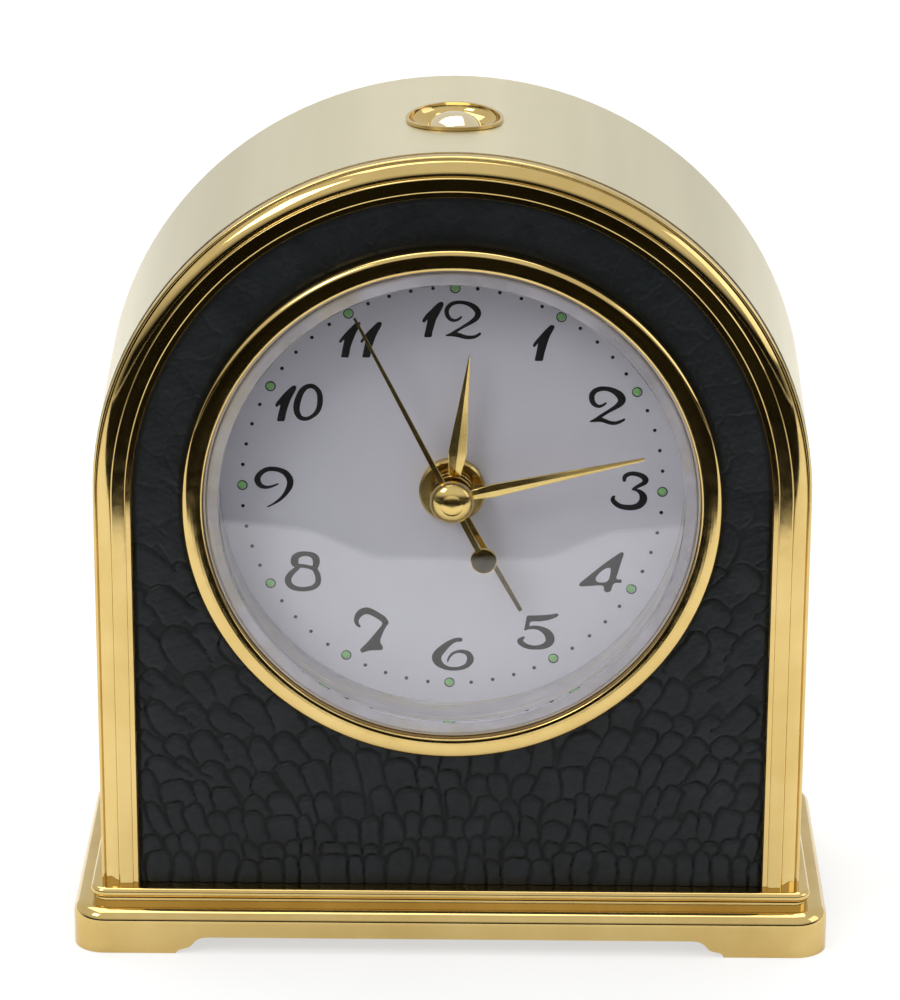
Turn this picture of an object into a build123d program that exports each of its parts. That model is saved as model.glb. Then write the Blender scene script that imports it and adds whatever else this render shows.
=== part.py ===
from build123d import *
import math
import os

os.makedirs("parts", exist_ok=True)

# Travel alarm clock: arched metal case on a moulded plinth, quartz alarm
# movement inside.  Millimetres.  +Z up, the dial faces -Y.
# Origin: centre of the plinth's footprint, on the table.
# "d" below is the depth behind the front plane of the arched front frame.

# ---------------------------------------------------------------- main sizes
PLINTH_W = 80.0            # width of the plinth
PLINTH_D = 35.2            # depth of the plinth
PLINTH_H = 6.6             # table to the top of the plinth
FOOT_GAP = 1.86            # height of the arch cut between the feet
CASE_R = 37.1              # outside radius of the arched wrap at its front
REAR_R = 37.7              # and at its rear: the casting tapers
CASE_WALL = 1.2
CASE_D = 30.1              # frame front plane to rear edge of the wrap
D0 = -14.8                 # Y of the frame's front plane
ZC = 49.65                 # height of the dial centre and of the arch centre
WRAP_FRONT = 2.4           # depth where the wrap starts
BEZEL_R = 27.7
CRYSTAL_R = 25.25
DIAL_R = 27.0
DIAL_FRONT = 5.9
DIAL_BACK = 6.4
LEATHER_FRONT, LEATHER_BACK = 0.9, 1.8
PLATE_BACK = 3.0
COVER_FRONT, COVER_BACK = 26.0, 27.6
MOV_X = 28.0               # half width of the movement
MOV_TOP, MOV_BOTTOM = 20.0, -28.1   # from the dial centre
MOV_FRONT_BACK = 7.9       # rear face of the movement's front housing
MOV_REAR = 22.4
BUTTON_Y = -0.3            # snooze button centre

# hands: angle clockwise from twelve, length
SEC_ANGLE, SEC_LEN = 333.2, 22.2
MIN_ANGLE, MIN_LEN = 77.1, 20.3
HOUR_ANGLE, HOUR_LEN = 6.4, 15.4
ALARM_ANGLE, ALARM_LEN = 151.0, 14.9

# arbor positions (x, z from the dial centre)
THIRD = (0.0, 9.0)
INTER = (5.4, 0.0)
ROTOR = (5.4 + 4.9 * math.cos(math.radians(50)), 4.9 * math.sin(math.radians(50)))
TIME_SET = (15.5, -4.5)
ALARM_SET = (-15.5, -4.5)


def meet(p, q, rp, rq, side):
    """Point at distance rp from p and rq from q, on the stated side."""
    dx, dz = q[0] - p[0], q[1] - p[1]
    s = math.hypot(dx, dz)
    a = (rp * rp - rq * rq + s * s) / (2 * s)
    h = math.sqrt(rp * rp - a * a) * side
    return (p[0] + a * dx / s - h * dz / s, p[1] + a * dz / s + h * dx / s)


M_MOTION = 0.28            # module of the motion work and alarm gears
M_CENTRE = 18.0 / 85.0     # third pinion 10T with centre wheel 75T, 9.0 apart
M_THIRD = 0.2              # seconds pinion 10T with third wheel 80T, 9.0 apart
M_FAST = 0.18              # intermediate pinion 10T with seconds wheel 50T
M_ROTOR = 0.14             # rotor pinion 10T with intermediate wheel 60T
MINUTE_WHEEL = meet((0, 0), TIME_SET, 8.4, 8.4, 1)
IDLER = meet((0, 0), ALARM_SET, 0.14 * 78, 0.14 * 45, -1)


# ------------------------------------------------------------------- helpers
def face(d, x=0.0, z=0.0):
    """Plane at depth d facing the front: local x is +X, local y is +Z."""
    return Plane(origin=(x, D0 + d, ZC + z), x_dir=(1, 0, 0), z_dir=(0, -1, 0))


def section(x=0.0, z=0.0):
    """Plane through an axis parallel to Y: local x is radius, local y depth."""
    return Plane(origin=(x, D0, ZC + z), x_dir=(1, 0, 0), z_dir=(0, 0, 1))


def spin(x=0.0, z=0.0, way=1):
    return Axis((x, D0, ZC + z), (0, way, 0))


def disc(d0, d1, r, x=0.0, z=0.0, bore=0.0, mode=Mode.ADD):
    """Round disc or ring between two depths, on an axis parallel to Y."""
    with BuildSketch(face(d1, x, z)) as sk:
        Circle(r)
        if bore:
            Circle(bore, mode=Mode.SUBTRACT)
    extrude(sk.sketch, amount=d1 - d0, mode=mode)


def slab(d0, d1, x0, x1, z0, z1, mode=Mode.ADD):
    """Rectangular block between two depths, z from the dial centre."""
    with BuildSketch(face(d1, (x0 + x1) / 2, (z0 + z1) / 2)) as sk:
        Rectangle(x1 - x0, z1 - z0)
    extrude(sk.sketch, amount=d1 - d0, mode=mode)


def arch(d0, d1, r, z_bottom, mode=Mode.ADD):
    """Arch-shaped plate: half circle on straight legs down to z_bottom."""
    leg = ZC - z_bottom
    with BuildSketch(face(d1)) as sk:
        Circle(r)
        with Locations((0, -leg / 2)):
            Rectangle(2 * r, leg)
    extrude(sk.sketch, amount=d1 - d0, mode=mode)


def outline(d0, d1, pts, x=0.0, z=0.0, mode=Mode.ADD):
    """Plate with a polygonal outline between two depths."""
    with BuildSketch(face(d1, x, z)) as sk:
        with BuildLine():
            Polyline(*pts, close=True)
        make_face()
    extrude(sk.sketch, amount=d1 - d0, mode=mode)


def gear_points(n, m, phase, slack=0.022):
    """Outline of a spur gear with 25 degree involute flanks, stub teeth."""
    r = m * n / 2
    pa = math.radians(25)
    rb = r * math.cos(pa)
    tip, root = r + 0.8 * m, r - 1.05 * m
    inv = lambda a: math.tan(a) - a
    half = (math.pi * m / 2 - slack) / (2 * r)

    def half_at(rho):
        a = math.acos(min(1.0, rb / max(rho, rb)))
        return half + inv(pa) - inv(a)

    pts = []
    for k in range(n):
        mid = math.radians(phase) + 2 * math.pi * k / n
        for sgn, order in ((-1, (root, max(r, rb), tip)), (1, (tip, max(r, rb), root))):
            for rho in order:
                a = mid + sgn * half_at(rho)
                pts.append((rho * math.cos(a), rho * math.sin(a)))
    return pts


def mesh_phase(p, q, n_p, phase_p, n_q):
    """Phase of gear q (degrees) that sets it in mesh with gear p."""
    alpha = math.degrees(math.atan2(q[1] - p[1], q[0] - p[0]))
    g = (phase_p - alpha) / (360 / n_p)
    return alpha + 180 + (360 / n_q) * (-g - 0.5)


def gear(d0, d1, n, m, phase, at, bore=0.0, mode=Mode.ADD):
    with BuildSketch(face(d1, at[0], at[1])) as sk:
        with BuildLine():
            Polyline(*gear_points(n, m, phase), close=True)
        make_face()
        if bore:
            Circle(bore, mode=Mode.SUBTRACT)
    extrude(sk.sketch, amount=d1 - d0, mode=mode)


def clockwise(angle):
    """Unit vector of a direction given clockwise from twelve."""
    a = math.radians(angle)
    return math.sin(a), math.cos(a)


def along(angle, pts):
    """Turns (distance along the hand, distance to its side) into x, z."""
    ux, uz = clockwise(angle)
    return [(s * ux + t * uz, s * uz - t * ux) for s, t in pts]


def finish(builder, label):
    builder.part.label = label
    export_step(builder.part, "parts/" + label + ".step")
    print(label, len(builder.part.solids()), round(builder.part.volume, 2))


O = (0.0, 0.0)

# -------------------------------------------------------------------- plinth
with BuildPart() as plinth:
    with BuildSketch(Plane.XY):
        RectangleRounded(PLINTH_W, PLINTH_D, 3.4)
    extrude(amount=4.77)
    fillet(plinth.faces().sort_by(Axis.Z)[-1].edges(), 1.35)
    with BuildSketch(Plane.XY.offset(4.77)):
        RectangleRounded(75.8, 31.1, 1.4)
    extrude(amount=0.68)
    with BuildPart(mode=Mode.PRIVATE) as bead:
        with BuildSketch(Plane.XY.offset(5.45)):
            RectangleRounded(76.3, 31.6, 1.6)
        extrude(amount=1.15)
        fillet(
            bead.faces().sort_by(Axis.Z)[-1].edges()
            + bead.faces().sort_by(Axis.Z)[0].edges(),
            0.55,
        )
    add(bead.part)
    # cavity for the weight and the felt
    with BuildSketch(Plane.XY):
        RectangleRounded(68.0, 25.0, 2.0)
    extrude(amount=4.9, mode=Mode.SUBTRACT)
    # arches between the feet: across the front and back, and on both sides
    with BuildSketch(Plane.XZ.offset(-20)):
        with BuildLine():
            Line((-29.0, -1.0), (-29.0, 0.0))
            Spline((-29.0, 0.0), (-27.6, 0.75), (-26.9, 1.45), (-25.6, FOOT_GAP), tangents=((0.25, 1), (1, 0.05)))
            Line((-25.6, FOOT_GAP), (25.6, FOOT_GAP))
            Spline((25.6, FOOT_GAP), (26.9, 1.45), (27.6, 0.75), (29.0, 0.0), tangents=((1, -0.05), (0.25, -1)))
            Line((29.0, 0.0), (29.0, -1.0))
            Line((29.0, -1.0), (-29.0, -1.0))
        make_face()
    extrude(amount=40, mode=Mode.SUBTRACT)
    with BuildSketch(Plane.YZ.offset(-45)):
        with BuildLine():
            Line((-8.6, -1.0), (-8.6, 0.0))
            Spline((-8.6, 0.0), (-7.6, 0.75), (-7.0, 1.45), (-6.0, FOOT_GAP), tangents=((0.25, 1), (1, 0.05)))
            Line((-6.0, FOOT_GAP), (6.0, FOOT_GAP))
            Spline((6.0, FOOT_GAP), (7.0, 1.45), (7.6, 0.75), (8.6, 0.0), tangents=((1, -0.05), (0.25, -1)))
            Line((8.6, 0.0), (8.6, -1.0))
            Line((8.6, -1.0), (-8.6, -1.0))
        make_face()
    extrude(amount=90, mode=Mode.SUBTRACT)
    # screw holes up into the case
    with BuildSketch(Plane.XY.offset(4.5)):
        with GridLocations(54.0, 16.0, 2, 2):
            Circle(1.2)
    extrude(amount=3, mode=Mode.SUBTRACT)
finish(plinth, "plinth")

with BuildPart() as base_weight:
    with BuildSketch(Plane.XY.offset(2.5)):
        RectangleRounded(67.6, 24.6, 1.8)
        with GridLocations(54.0, 16.0, 2, 2):
            Circle(2.6, mode=Mode.SUBTRACT)
    extrude(amount=2.4)
finish(base_weight, "base_weight")

with BuildPart() as base_felt:
    with BuildSketch(Plane.XY.offset(FOOT_GAP + 0.04)):
        RectangleRounded(67.6, 24.6, 1.8)
    extrude(amount=0.6)
finish(base_felt, "base_felt")

with BuildPart() as plinth_screws:
    with BuildSketch(Plane.XY.offset(3.4)):
        with GridLocations(54.0, 16.0, 2, 2):
            Circle(2.1)
    extrude(amount=1.5)
    with BuildSketch(Plane.XY.offset(4.9)):
        with GridLocations(54.0, 16.0, 2, 2):
            Circle(1.1)
    extrude(amount=4.6)
    with BuildSketch(Plane.XY.offset(3.4)):
        with GridLocations(54.0, 16.0, 2, 2):
            Rectangle(2.6, 0.5)
            Rectangle(0.5, 2.6)
    extrude(amount=0.8, mode=Mode.SUBTRACT)
finish(plinth_screws, "plinth_screws")

# ---------------------------------------------------------------------- case
with BuildPart() as case_wrap:
    for d, r in ((WRAP_FRONT, CASE_R), (CASE_D, REAR_R)):
        with BuildSketch(face(d)):
            with BuildLine():
                Polyline((-r, 0), (-r, PLINTH_H - ZC), (r, PLINTH_H - ZC), (r, 0))
                ThreePointArc((r, 0), (0, r), (-r, 0))
            make_face()
    loft(ruled=True)
    arch(WRAP_FRONT - 1, CASE_D + 1, CASE_R - CASE_WALL, PLINTH_H + CASE_WALL, mode=Mode.SUBTRACT)
    rim = case_wrap.faces().sort_by(Axis.Y)[-1].outer_wire().edges().filter_by(
        lambda e: e.center().Z > PLINTH_H + 1
    )
    fillet(rim, 0.45)
    # room for the tongue of the front frame and the backing plate
    slab(WRAP_FRONT - 1, 4.25, -(CASE_R - CASE_WALL), CASE_R - CASE_WALL, PLINTH_H - 1 - ZC, PLINTH_H + 2 - ZC, mode=Mode.SUBTRACT)
    # bosses for the plinth screws
    with BuildSketch(Plane.XY.offset(PLINTH_H + 0.6)):
        with GridLocations(54.0, 16.0, 2, 2):
            Circle(2.6)
    extrude(amount=2.8)
    with BuildSketch(Plane.XY.offset(PLINTH_H - 1)):
        with GridLocations(54.0, 16.0, 2, 2):
            Circle(1.1)
    extrude(amount=6, mode=Mode.SUBTRACT)
    # hole for the snooze button's collar
    with BuildSketch(Plane.XY.offset(ZC + 30)):
        with Locations((0, BUTTON_Y)):
            Circle(4.95)
    extrude(amount=12, mode=Mode.SUBTRACT)
finish(case_wrap, "case_wrap")


with BuildPart() as front_frame:
    with BuildSketch(section()):
        with BuildLine() as right_line:
            Polyline((35.1, 0.45), (35.1, 0.12), (34.98, 0.0), (33.2, 0.0), (32.9, 0.3), (32.9, 0.9),
                     (34.85, 0.9), (34.85, 4.2), (35.85, 4.2), (35.85, 2.4), (37.0, 2.4), (37.0, 1.35))
            ThreePointArc((37.0, 1.35), (36.88, 1.1), (36.62, 1.0))
            Line((36.62, 1.0), (36.5, 1.35))
            ThreePointArc((36.5, 1.35), (36.02, 0.72), (35.1, 0.45))
        make_face()
    revolve(axis=spin(way=-1), revolution_arc=180)
    with BuildSketch(section()) as legs:
        with BuildLine():
            Polyline((35.1, 0.45), (35.1, 0.12), (34.98, 0.0), (33.2, 0.0), (32.9, 0.3), (32.9, 0.9),
                     (34.85, 0.9), (34.85, 4.2), (35.85, 4.2), (35.85, 2.4), (37.0, 2.4), (37.0, 1.35))
            ThreePointArc((37.0, 1.35), (36.88, 1.1), (36.62, 1.0))
            Line((36.62, 1.0), (36.5, 1.35))
            ThreePointArc((36.5, 1.35), (36.02, 0.72), (35.1, 0.45))
        make_face()
        mirror(about=Plane.YZ)
    extrude(amount=-(ZC - PLINTH_H))
finish(front_frame, "front_frame")

POSTS = [(-31, -20), (31, -20), (-31, 5), (31, 5)]
PILLARS = [(-32.5, 12.5 - ZC), (32.5, 12.5 - ZC), (-21.8, 23.0), (21.8, 23.0)]

with BuildPart() as backing_plate:
    arch(LEATHER_BACK, PLATE_BACK, 34.75, PLINTH_H + 0.05)
    disc(LEATHER_BACK - 1, PLATE_BACK + 1, 26.35, mode=Mode.SUBTRACT)
    for x, z in POSTS:
        disc(PLATE_BACK - 0.5, DIAL_BACK, 2.2, x, z)
        disc(PLATE_BACK + 0.4, DIAL_BACK + 1, 0.9, x, z, mode=Mode.SUBTRACT)
finish(backing_plate, "backing_plate")

with BuildPart() as leather_panel:
    arch(LEATHER_FRONT, LEATHER_BACK, 34.8, PLINTH_H + 0.05)
    disc(LEATHER_FRONT - 1, LEATHER_BACK + 1, 26.4, mode=Mode.SUBTRACT)
finish(leather_panel, "leather_panel")

with BuildPart() as bezel:
    with BuildSketch(section()):
        with BuildLine():
            Polyline((27.25, -0.62), (27.1, -0.47), (25.62, -0.47), (25.35, -0.2), (25.35, 5.0), (26.3, 5.0), (26.3, 0.9), (27.7, 0.9), (27.7, 0.0))
            ThreePointArc((27.7, 0.0), (27.6, -0.42), (27.25, -0.62))
        make_face()
    revolve(axis=spin())
finish(bezel, "bezel")

with BuildPart() as bezel_lock_ring:
    disc(PLATE_BACK, 4.0, 28.7, bore=26.3)
    for a in (45, 135, 225, 315):
        with BuildSketch(face(4.5)) as sk:
            with PolarLocations(28.7, 1, start_angle=a):
                Circle(1.1)
        extrude(sk.sketch, amount=2, mode=Mode.SUBTRACT)
finish(bezel_lock_ring, "bezel_lock_ring")

with BuildPart() as crystal:
    with BuildSketch(section()):
        with BuildLine():
            Polyline((0, -0.35), (0, 0.65), (23.7, 0.65), (24.05, 1.0), (24.05, 5.85), (27.0, 5.85), (27.0, 5.1), (25.25, 5.1), (25.25, 0.0))
            ThreePointArc((25.25, 0.0), (25.15, -0.25), (24.9, -0.35))
            Line((24.9, -0.35), (0, -0.35))
        make_face()
    revolve(axis=spin())
    # snap notches beside the dial at six and twelve
    slab(4.5, 6.5, -2.7, 2.7, -24.95, -20.0, mode=Mode.SUBTRACT)
    slab(4.9, 6.5, -2.05, 2.05, 20.0, 24.8, mode=Mode.SUBTRACT)
finish(crystal, "crystal")

with BuildPart() as dial:
    disc(DIAL_FRONT, DIAL_BACK, DIAL_R, bore=2.95)
finish(dial, "dial")

with BuildPart() as dial_nut:
    disc(5.15, DIAL_FRONT, 3.45, bore=2.9)
    disc(4.85, 5.15, 3.45, bore=1.75)
    chamfer(dial_nut.faces().sort_by(Axis.Y)[0].outer_wire().edges(), 0.2)
finish(dial_nut, "dial_nut")

with BuildPart() as case_pillars:
    for x, z in PILLARS:
        disc(PLATE_BACK, COVER_FRONT, 2.0, x, z)
        disc(COVER_FRONT - 6, COVER_FRONT + 1, 0.85, x, z, mode=Mode.SUBTRACT)
finish(case_pillars, "case_pillars")

# ------------------------------------------------------------------ back cover
DOOR_AXIS_D, DOOR_AXIS_Z = 26.8, -27.0
with BuildPart() as back_cover:
    arch(COVER_FRONT, COVER_BACK, CASE_R - CASE_WALL - 0.08, PLINTH_H + CASE_WALL + 0.08)
    # battery opening, with a pocket and a pierced ear for each door hinge
    slab(COVER_FRONT - 1, COVER_BACK + 1, -26.1, 26.1, -26.5, -12.0, mode=Mode.SUBTRACT)
    for s in (-1, 1):
        slab(COVER_FRONT - 1, COVER_BACK + 1, min(s * 17.6, s * 22.1), max(s * 17.6, s * 22.1), -28.2, -26.4, mode=Mode.SUBTRACT)
        with BuildSketch(Plane(origin=(s * 23.2 - 1.1, D0 + DOOR_AXIS_D, ZC + DOOR_AXIS_Z), x_dir=(0, 1, 0), z_dir=(1, 0, 0))) as ear:
            with BuildLine():
                Polyline((-0.62, -0.4), (0.62, -0.4), (0.62, 0.62), (0.32, 0.76), (-0.32, 0.76), (-0.62, 0.62), close=True)
            make_face()
        extrude(ear.sketch, amount=2.2)
    for s in (-1, 1):
        with BuildSketch(Plane(origin=(min(s * 22.0, s * 24.05), D0 + DOOR_AXIS_D, ZC + DOOR_AXIS_Z), x_dir=(0, 1, 0), z_dir=(1, 0, 0))) as hole:
            Circle(0.49)
        extrude(hole.sketch, amount=2.05, mode=Mode.SUBTRACT)
    # arbor holes, screw holes with counterbores
    for x, z in (TIME_SET, ALARM_SET):
        disc(COVER_FRONT - 1, COVER_BACK + 1, 1.5, x, z, mode=Mode.SUBTRACT)
    for x, z in PILLARS:
        disc(COVER_FRONT - 1, COVER_BACK + 1, 0.95, x, z, mode=Mode.SUBTRACT)
        disc(COVER_FRONT + 0.8, COVER_BACK + 1, 2.05, x, z, mode=Mode.SUBTRACT)
    # slot of the alarm switch, in a shallow finger recess
    slab(COVER_FRONT + 0.9, COVER_BACK + 1, -6.0, 6.0, 10.6, 15.4, mode=Mode.SUBTRACT)
    slab(COVER_FRONT - 1, COVER_BACK + 1, -3.6, 3.6, 12.2, 13.8, mode=Mode.SUBTRACT)
    # sound holes in front of the sounder
    with BuildSketch(face(COVER_BACK + 1, -17.0, 10.0)) as sound:
        Circle(0.75)
        with PolarLocations(2.6, 6):
            Circle(0.75)
        with PolarLocations(5.2, 12):
            Circle(0.75)
    extrude(sound.sketch, amount=4, mode=Mode.SUBTRACT)
    # raised rings round the two setting knobs
    for x, z in (TIME_SET, ALARM_SET):
        disc(COVER_BACK - 0.1, COVER_BACK + 0.25, 6.3, x, z, bore=5.7)
finish(back_cover, "back_cover")

with BuildPart() as back_cover_screws:
    for x, z in PILLARS:
        disc(COVER_FRONT + 0.8, COVER_BACK - 0.05, 1.95, x, z)
        disc(COVER_FRONT - 5.5, COVER_FRONT + 0.8, 0.85, x, z)
        slab(COVER_BACK - 0.5, COVER_BACK + 1, x - 1.3, x + 1.3, z - 0.22, z + 0.22, mode=Mode.SUBTRACT)
        slab(COVER_BACK - 0.5, COVER_BACK + 1, x - 0.22, x + 0.22, z - 1.3, z + 1.3, mode=Mode.SUBTRACT)
finish(back_cover_screws, "back_cover_screws")

with BuildPart() as battery_door:
    slab(COVER_FRONT, COVER_BACK - 0.2, -25.8, 25.8, -26.0, -12.2)
    for s in (-1, 1):
        slab(COVER_FRONT + 0.2, COVER_FRONT + 1.4, min(s * 18.0, s * 21.9), max(s * 18.0, s * 21.9), DOOR_AXIS_Z, -25.9)
        with BuildSketch(Plane(origin=(s * 19.95 - 1.95, D0 + DOOR_AXIS_D, ZC + DOOR_AXIS_Z), x_dir=(0, 1, 0), z_dir=(1, 0, 0))) as knuckle:
            Circle(0.8)
        extrude(knuckle.sketch, amount=3.9)
        with BuildSketch(Plane(origin=(min(s * 21.5, s * 23.9), D0 + DOOR_AXIS_D, ZC + DOOR_AXIS_Z), x_dir=(0, 1, 0), z_dir=(1, 0, 0))) as pin:
            Circle(0.44)
        extrude(pin.sketch, amount=2.4)
    # thumb notch and grip ribs near the upper edge, rib that presses the cell
    slab(COVER_BACK - 0.9, COVER_BACK + 1, -5.0, 5.0, -15.2, -13.4, mode=Mode.SUBTRACT)
    for k in range(3):
        slab(COVER_BACK - 0.25, COVER_BACK + 0.05, -7.0, 7.0, -17.4 - 1.1 * k, -16.9 - 1.1 * k)
    for x in (-12.0, 12.0):
        slab(22.6, COVER_FRONT + 0.2, x - 0.6, x + 0.6, -22.0, -17.2)
finish(battery_door, "battery_door")

# --------------------------------------------------------------- snooze button
TOP_R = CASE_R + (REAR_R - CASE_R) * (BUTTON_Y - D0 - WRAP_FRONT) / (CASE_D - WRAP_FRONT)
TOP = ZC + TOP_R
with BuildPart() as button_collar:
    with BuildSketch(Plane.XY.offset(TOP - 3)):
        with Locations((0, BUTTON_Y)):
            Circle(5.05)
    extrude(amount=6)
    disc(-2, CASE_D + 2, TOP_R, mode=Mode.SUBTRACT)
    with BuildSketch(Plane.XY.offset(TOP - 3)):
        with Locations((0, BUTTON_Y)):
            Circle(4.9)
    extrude(amount=6)
    with BuildSketch(Plane.XY.offset(78.9)):
        with Locations((0, BUTTON_Y)):
            Circle(4.25)
    extrude(amount=11)
    disc(-2, CASE_D + 2, TOP_R + 0.3, mode=Mode.INTERSECT)
    with BuildSketch(Plane(origin=(0, BUTTON_Y, 0), x_dir=(1, 0, 0), z_dir=(0, -1, 0))):
        with BuildLine():
            Polyline((0, TOP + 3), (4.68, TOP + 3), (4.68, TOP + 0.02))
            Spline((4.68, TOP + 0.02), (4.1, TOP - 0.85), (3.5, TOP - 1.2), (2.95, TOP - 1.3), tangents=((-0.15, -1), (-1, 0)))
            Polyline((2.95, TOP - 1.3), (2.95, 80.2), (0, 80.2), (0, TOP + 3))
        make_face()
    revolve(axis=Axis((0, BUTTON_Y, 0), (0, 0, 1)), mode=Mode.SUBTRACT)
    with BuildSketch(Plane.XY.offset(78)):
        with Locations((0, BUTTON_Y)):
            Circle(1.28)
    extrude(amount=4, mode=Mode.SUBTRACT)
finish(button_collar, "button_collar")

with BuildPart() as button_cap:
    with BuildSketch(Plane(origin=(0, BUTTON_Y, 0), x_dir=(1, 0, 0), z_dir=(0, -1, 0))):
        with BuildLine():
            ThreePointArc((0, TOP + 0.5), (1.75, TOP + 0.13), (2.86, TOP - 1.0))
            Polyline((2.86, TOP - 1.0), (2.86, 84.9), (1.2, 84.9), (1.2, 71.3), (0, 71.3), (0, TOP + 0.5))
        make_face()
    revolve(axis=Axis((0, BUTTON_Y, 0), (0, 0, 1)))
finish(button_cap, "button_cap")

with BuildPart() as button_clip:
    with BuildSketch(Plane.XY.offset(78.25)):
        with Locations((0, BUTTON_Y)):
            Circle(2.3)
            Circle(1.2, mode=Mode.SUBTRACT)
        with Locations((0, BUTTON_Y - 2.0)):
            Rectangle(1.0, 2.4, mode=Mode.SUBTRACT)
    extrude(amount=0.6)
finish(button_clip, "button_clip")

with BuildPart() as button_spring:
    with BuildLine(Plane(origin=(0, BUTTON_Y, 80.36))) as coil:
        Helix(pitch=1.05, height=4.3, radius=2.0)
    with BuildSketch(Plane(origin=coil.line @ 0, z_dir=coil.line % 0)):
        Circle(0.14)
    sweep(path=coil.line, is_frenet=True)
finish(button_spring, "button_spring")

with BuildPart() as snooze_contact:
    slab(11.0, 18.0, -3.0, 3.0, MOV_TOP, MOV_TOP + 0.3)
    slab(13.2, 15.8, -1.4, 1.4, MOV_TOP + 0.3, MOV_TOP + 0.42)
finish(snooze_contact, "snooze_contact")

# ------------------------------------------------------------ movement housing
EARS = POSTS
with BuildPart() as movement_front_housing:
    slab(DIAL_BACK, MOV_FRONT_BACK, -MOV_X, MOV_X, MOV_BOTTOM, MOV_TOP)
    for x, z in EARS:
        s = 1 if x > 0 else -1
        slab(DIAL_BACK, 8.4, min(s * 28.0, s * 33.0), max(s * 28.0, s * 33.0), z - 2.2, z + 2.2)
    for x, z in EARS:
        disc(DIAL_BACK - 1, 9, 0.98, x, z, mode=Mode.SUBTRACT)
    # threaded centre boss through the dial
    disc(5.2, DIAL_BACK, 2.9)
    # studs of the minute wheel and of the alarm idler
    disc(MOV_FRONT_BACK - 0.5, 8.9, 1.0, *MINUTE_WHEEL)
    disc(8.9, 10.8, 0.6, *MINUTE_WHEEL)
    disc(MOV_FRONT_BACK - 0.5, 9.0, 0.6, *IDLER)
    # pillars that carry the middle plate
    for x, z in ((-24.4, 16.4), (24.4, 16.4), (-24.4, -8.8), (24.4, -8.8)):
        disc(MOV_FRONT_BACK - 0.5, 12.0, 1.5, x, z)
    # bores
    disc(5, MOV_FRONT_BACK + 1, 1.7, mode=Mode.SUBTRACT)
    disc(7.1, MOV_FRONT_BACK + 1, 0.32, *THIRD, mode=Mode.SUBTRACT)
    disc(7.1, MOV_FRONT_BACK + 1, 0.68, *TIME_SET, mode=Mode.SUBTRACT)
    disc(7.1, MOV_FRONT_BACK + 1, 0.68, *ALARM_SET, mode=Mode.SUBTRACT)
finish(movement_front_housing, "movement_front_housing")

with BuildPart() as movement_rear_housing:
    slab(MOV_FRONT_BACK, MOV_REAR, -MOV_X, MOV_X, MOV_BOTTOM, MOV_TOP)
    # gear chamber, open to the front
    slab(MOV_FRONT_BACK - 1, MOV_REAR - 1.2, -26.8, 26.8, -11.3, 18.8, mode=Mode.SUBTRACT)
    # battery bay, open to the back
    slab(MOV_FRONT_BACK - 1, MOV_REAR + 1, -26.8, 26.8, -26.9, -12.3, mode=Mode.SUBTRACT)
    for x, z in (TIME_SET, ALARM_SET):
        disc(MOV_REAR - 2, MOV_REAR + 1, 1.06, x, z, mode=Mode.SUBTRACT)
    with BuildSketch(face(MOV_REAR + 1, -17.0, 10.0)) as grille:
        Circle(0.7)
        with PolarLocations(2.6, 6):
            Circle(0.7)
    extrude(grille.sketch, amount=3, mode=Mode.SUBTRACT)
finish(movement_rear_housing, "movement_rear_housing")

with BuildPart() as movement_screws:
    for x, z in POSTS:
        disc(3.6, 8.4, 0.9, x, z)
        disc(8.4, 9.5, 1.8, x, z)
        slab(9.0, 10, x - 1.2, x + 1.2, z - 0.22, z + 0.22, mode=Mode.SUBTRACT)
finish(movement_screws, "movement_screws")

with BuildPart() as middle_plate:
    slab(12.0, 12.8, -26.5, 26.5, -11.1, 18.6)
    for x, z in ((16.7, 5.0), (16.7, 14.6)):
        disc(12.5, 16.6, 0.9, x, z)
    for x, z in ((-7.0, -2.2), (12.6, -3.6), (13.0, 9.6)):
        disc(12.5, 18.4, 1.0, x, z)
    disc(11, 14, 0.85, *O, mode=Mode.SUBTRACT)
    disc(11, 14, 0.5, *THIRD, mode=Mode.SUBTRACT)
    disc(12.15, 14, 0.29, *INTER, mode=Mode.SUBTRACT)
    disc(12.15, 14, 0.24, *ROTOR, mode=Mode.SUBTRACT)
    for x, z in (TIME_SET, ALARM_SET):
        disc(11, 14, 1.06, x, z, mode=Mode.SUBTRACT)
finish(middle_plate, "middle_plate")

with BuildPart() as train_bridge:
    outline(18.4, 19.2, [(-8.4, -3.6), (13.9, -5.0), (14.3, 10.9), (-1.6, 11.0)])
    disc(18, 18.95, 0.29, *O, mode=Mode.SUBTRACT)
    disc(18, 18.95, 0.32, *THIRD, mode=Mode.SUBTRACT)
    disc(18, 18.95, 0.29, *INTER, mode=Mode.SUBTRACT)
    disc(18, 18.95, 0.24, *ROTOR, mode=Mode.SUBTRACT)
finish(train_bridge, "train_bridge")

# ------------------------------------------------------------ motor and board
with BuildPart() as stator:
    slab(16.6, 17.4, 5.2, 12.0, 0.8, 7.2)
    slab(16.6, 17.4, 1.3, 3.8, 3.6, 16.0)
    slab(16.6, 17.4, 3.8, 5.2, 3.6, 6.2)
    slab(16.6, 17.4, 15.2, 18.0, 3.0, 16.0)
    slab(16.6, 17.4, 12.0, 15.2, 3.6, 6.2)
    slab(16.6, 17.4, 3.8, 15.2, 13.5, 15.7)
    disc(16, 18, 2.5, *ROTOR, mode=Mode.SUBTRACT)
finish(stator, "stator")

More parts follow.
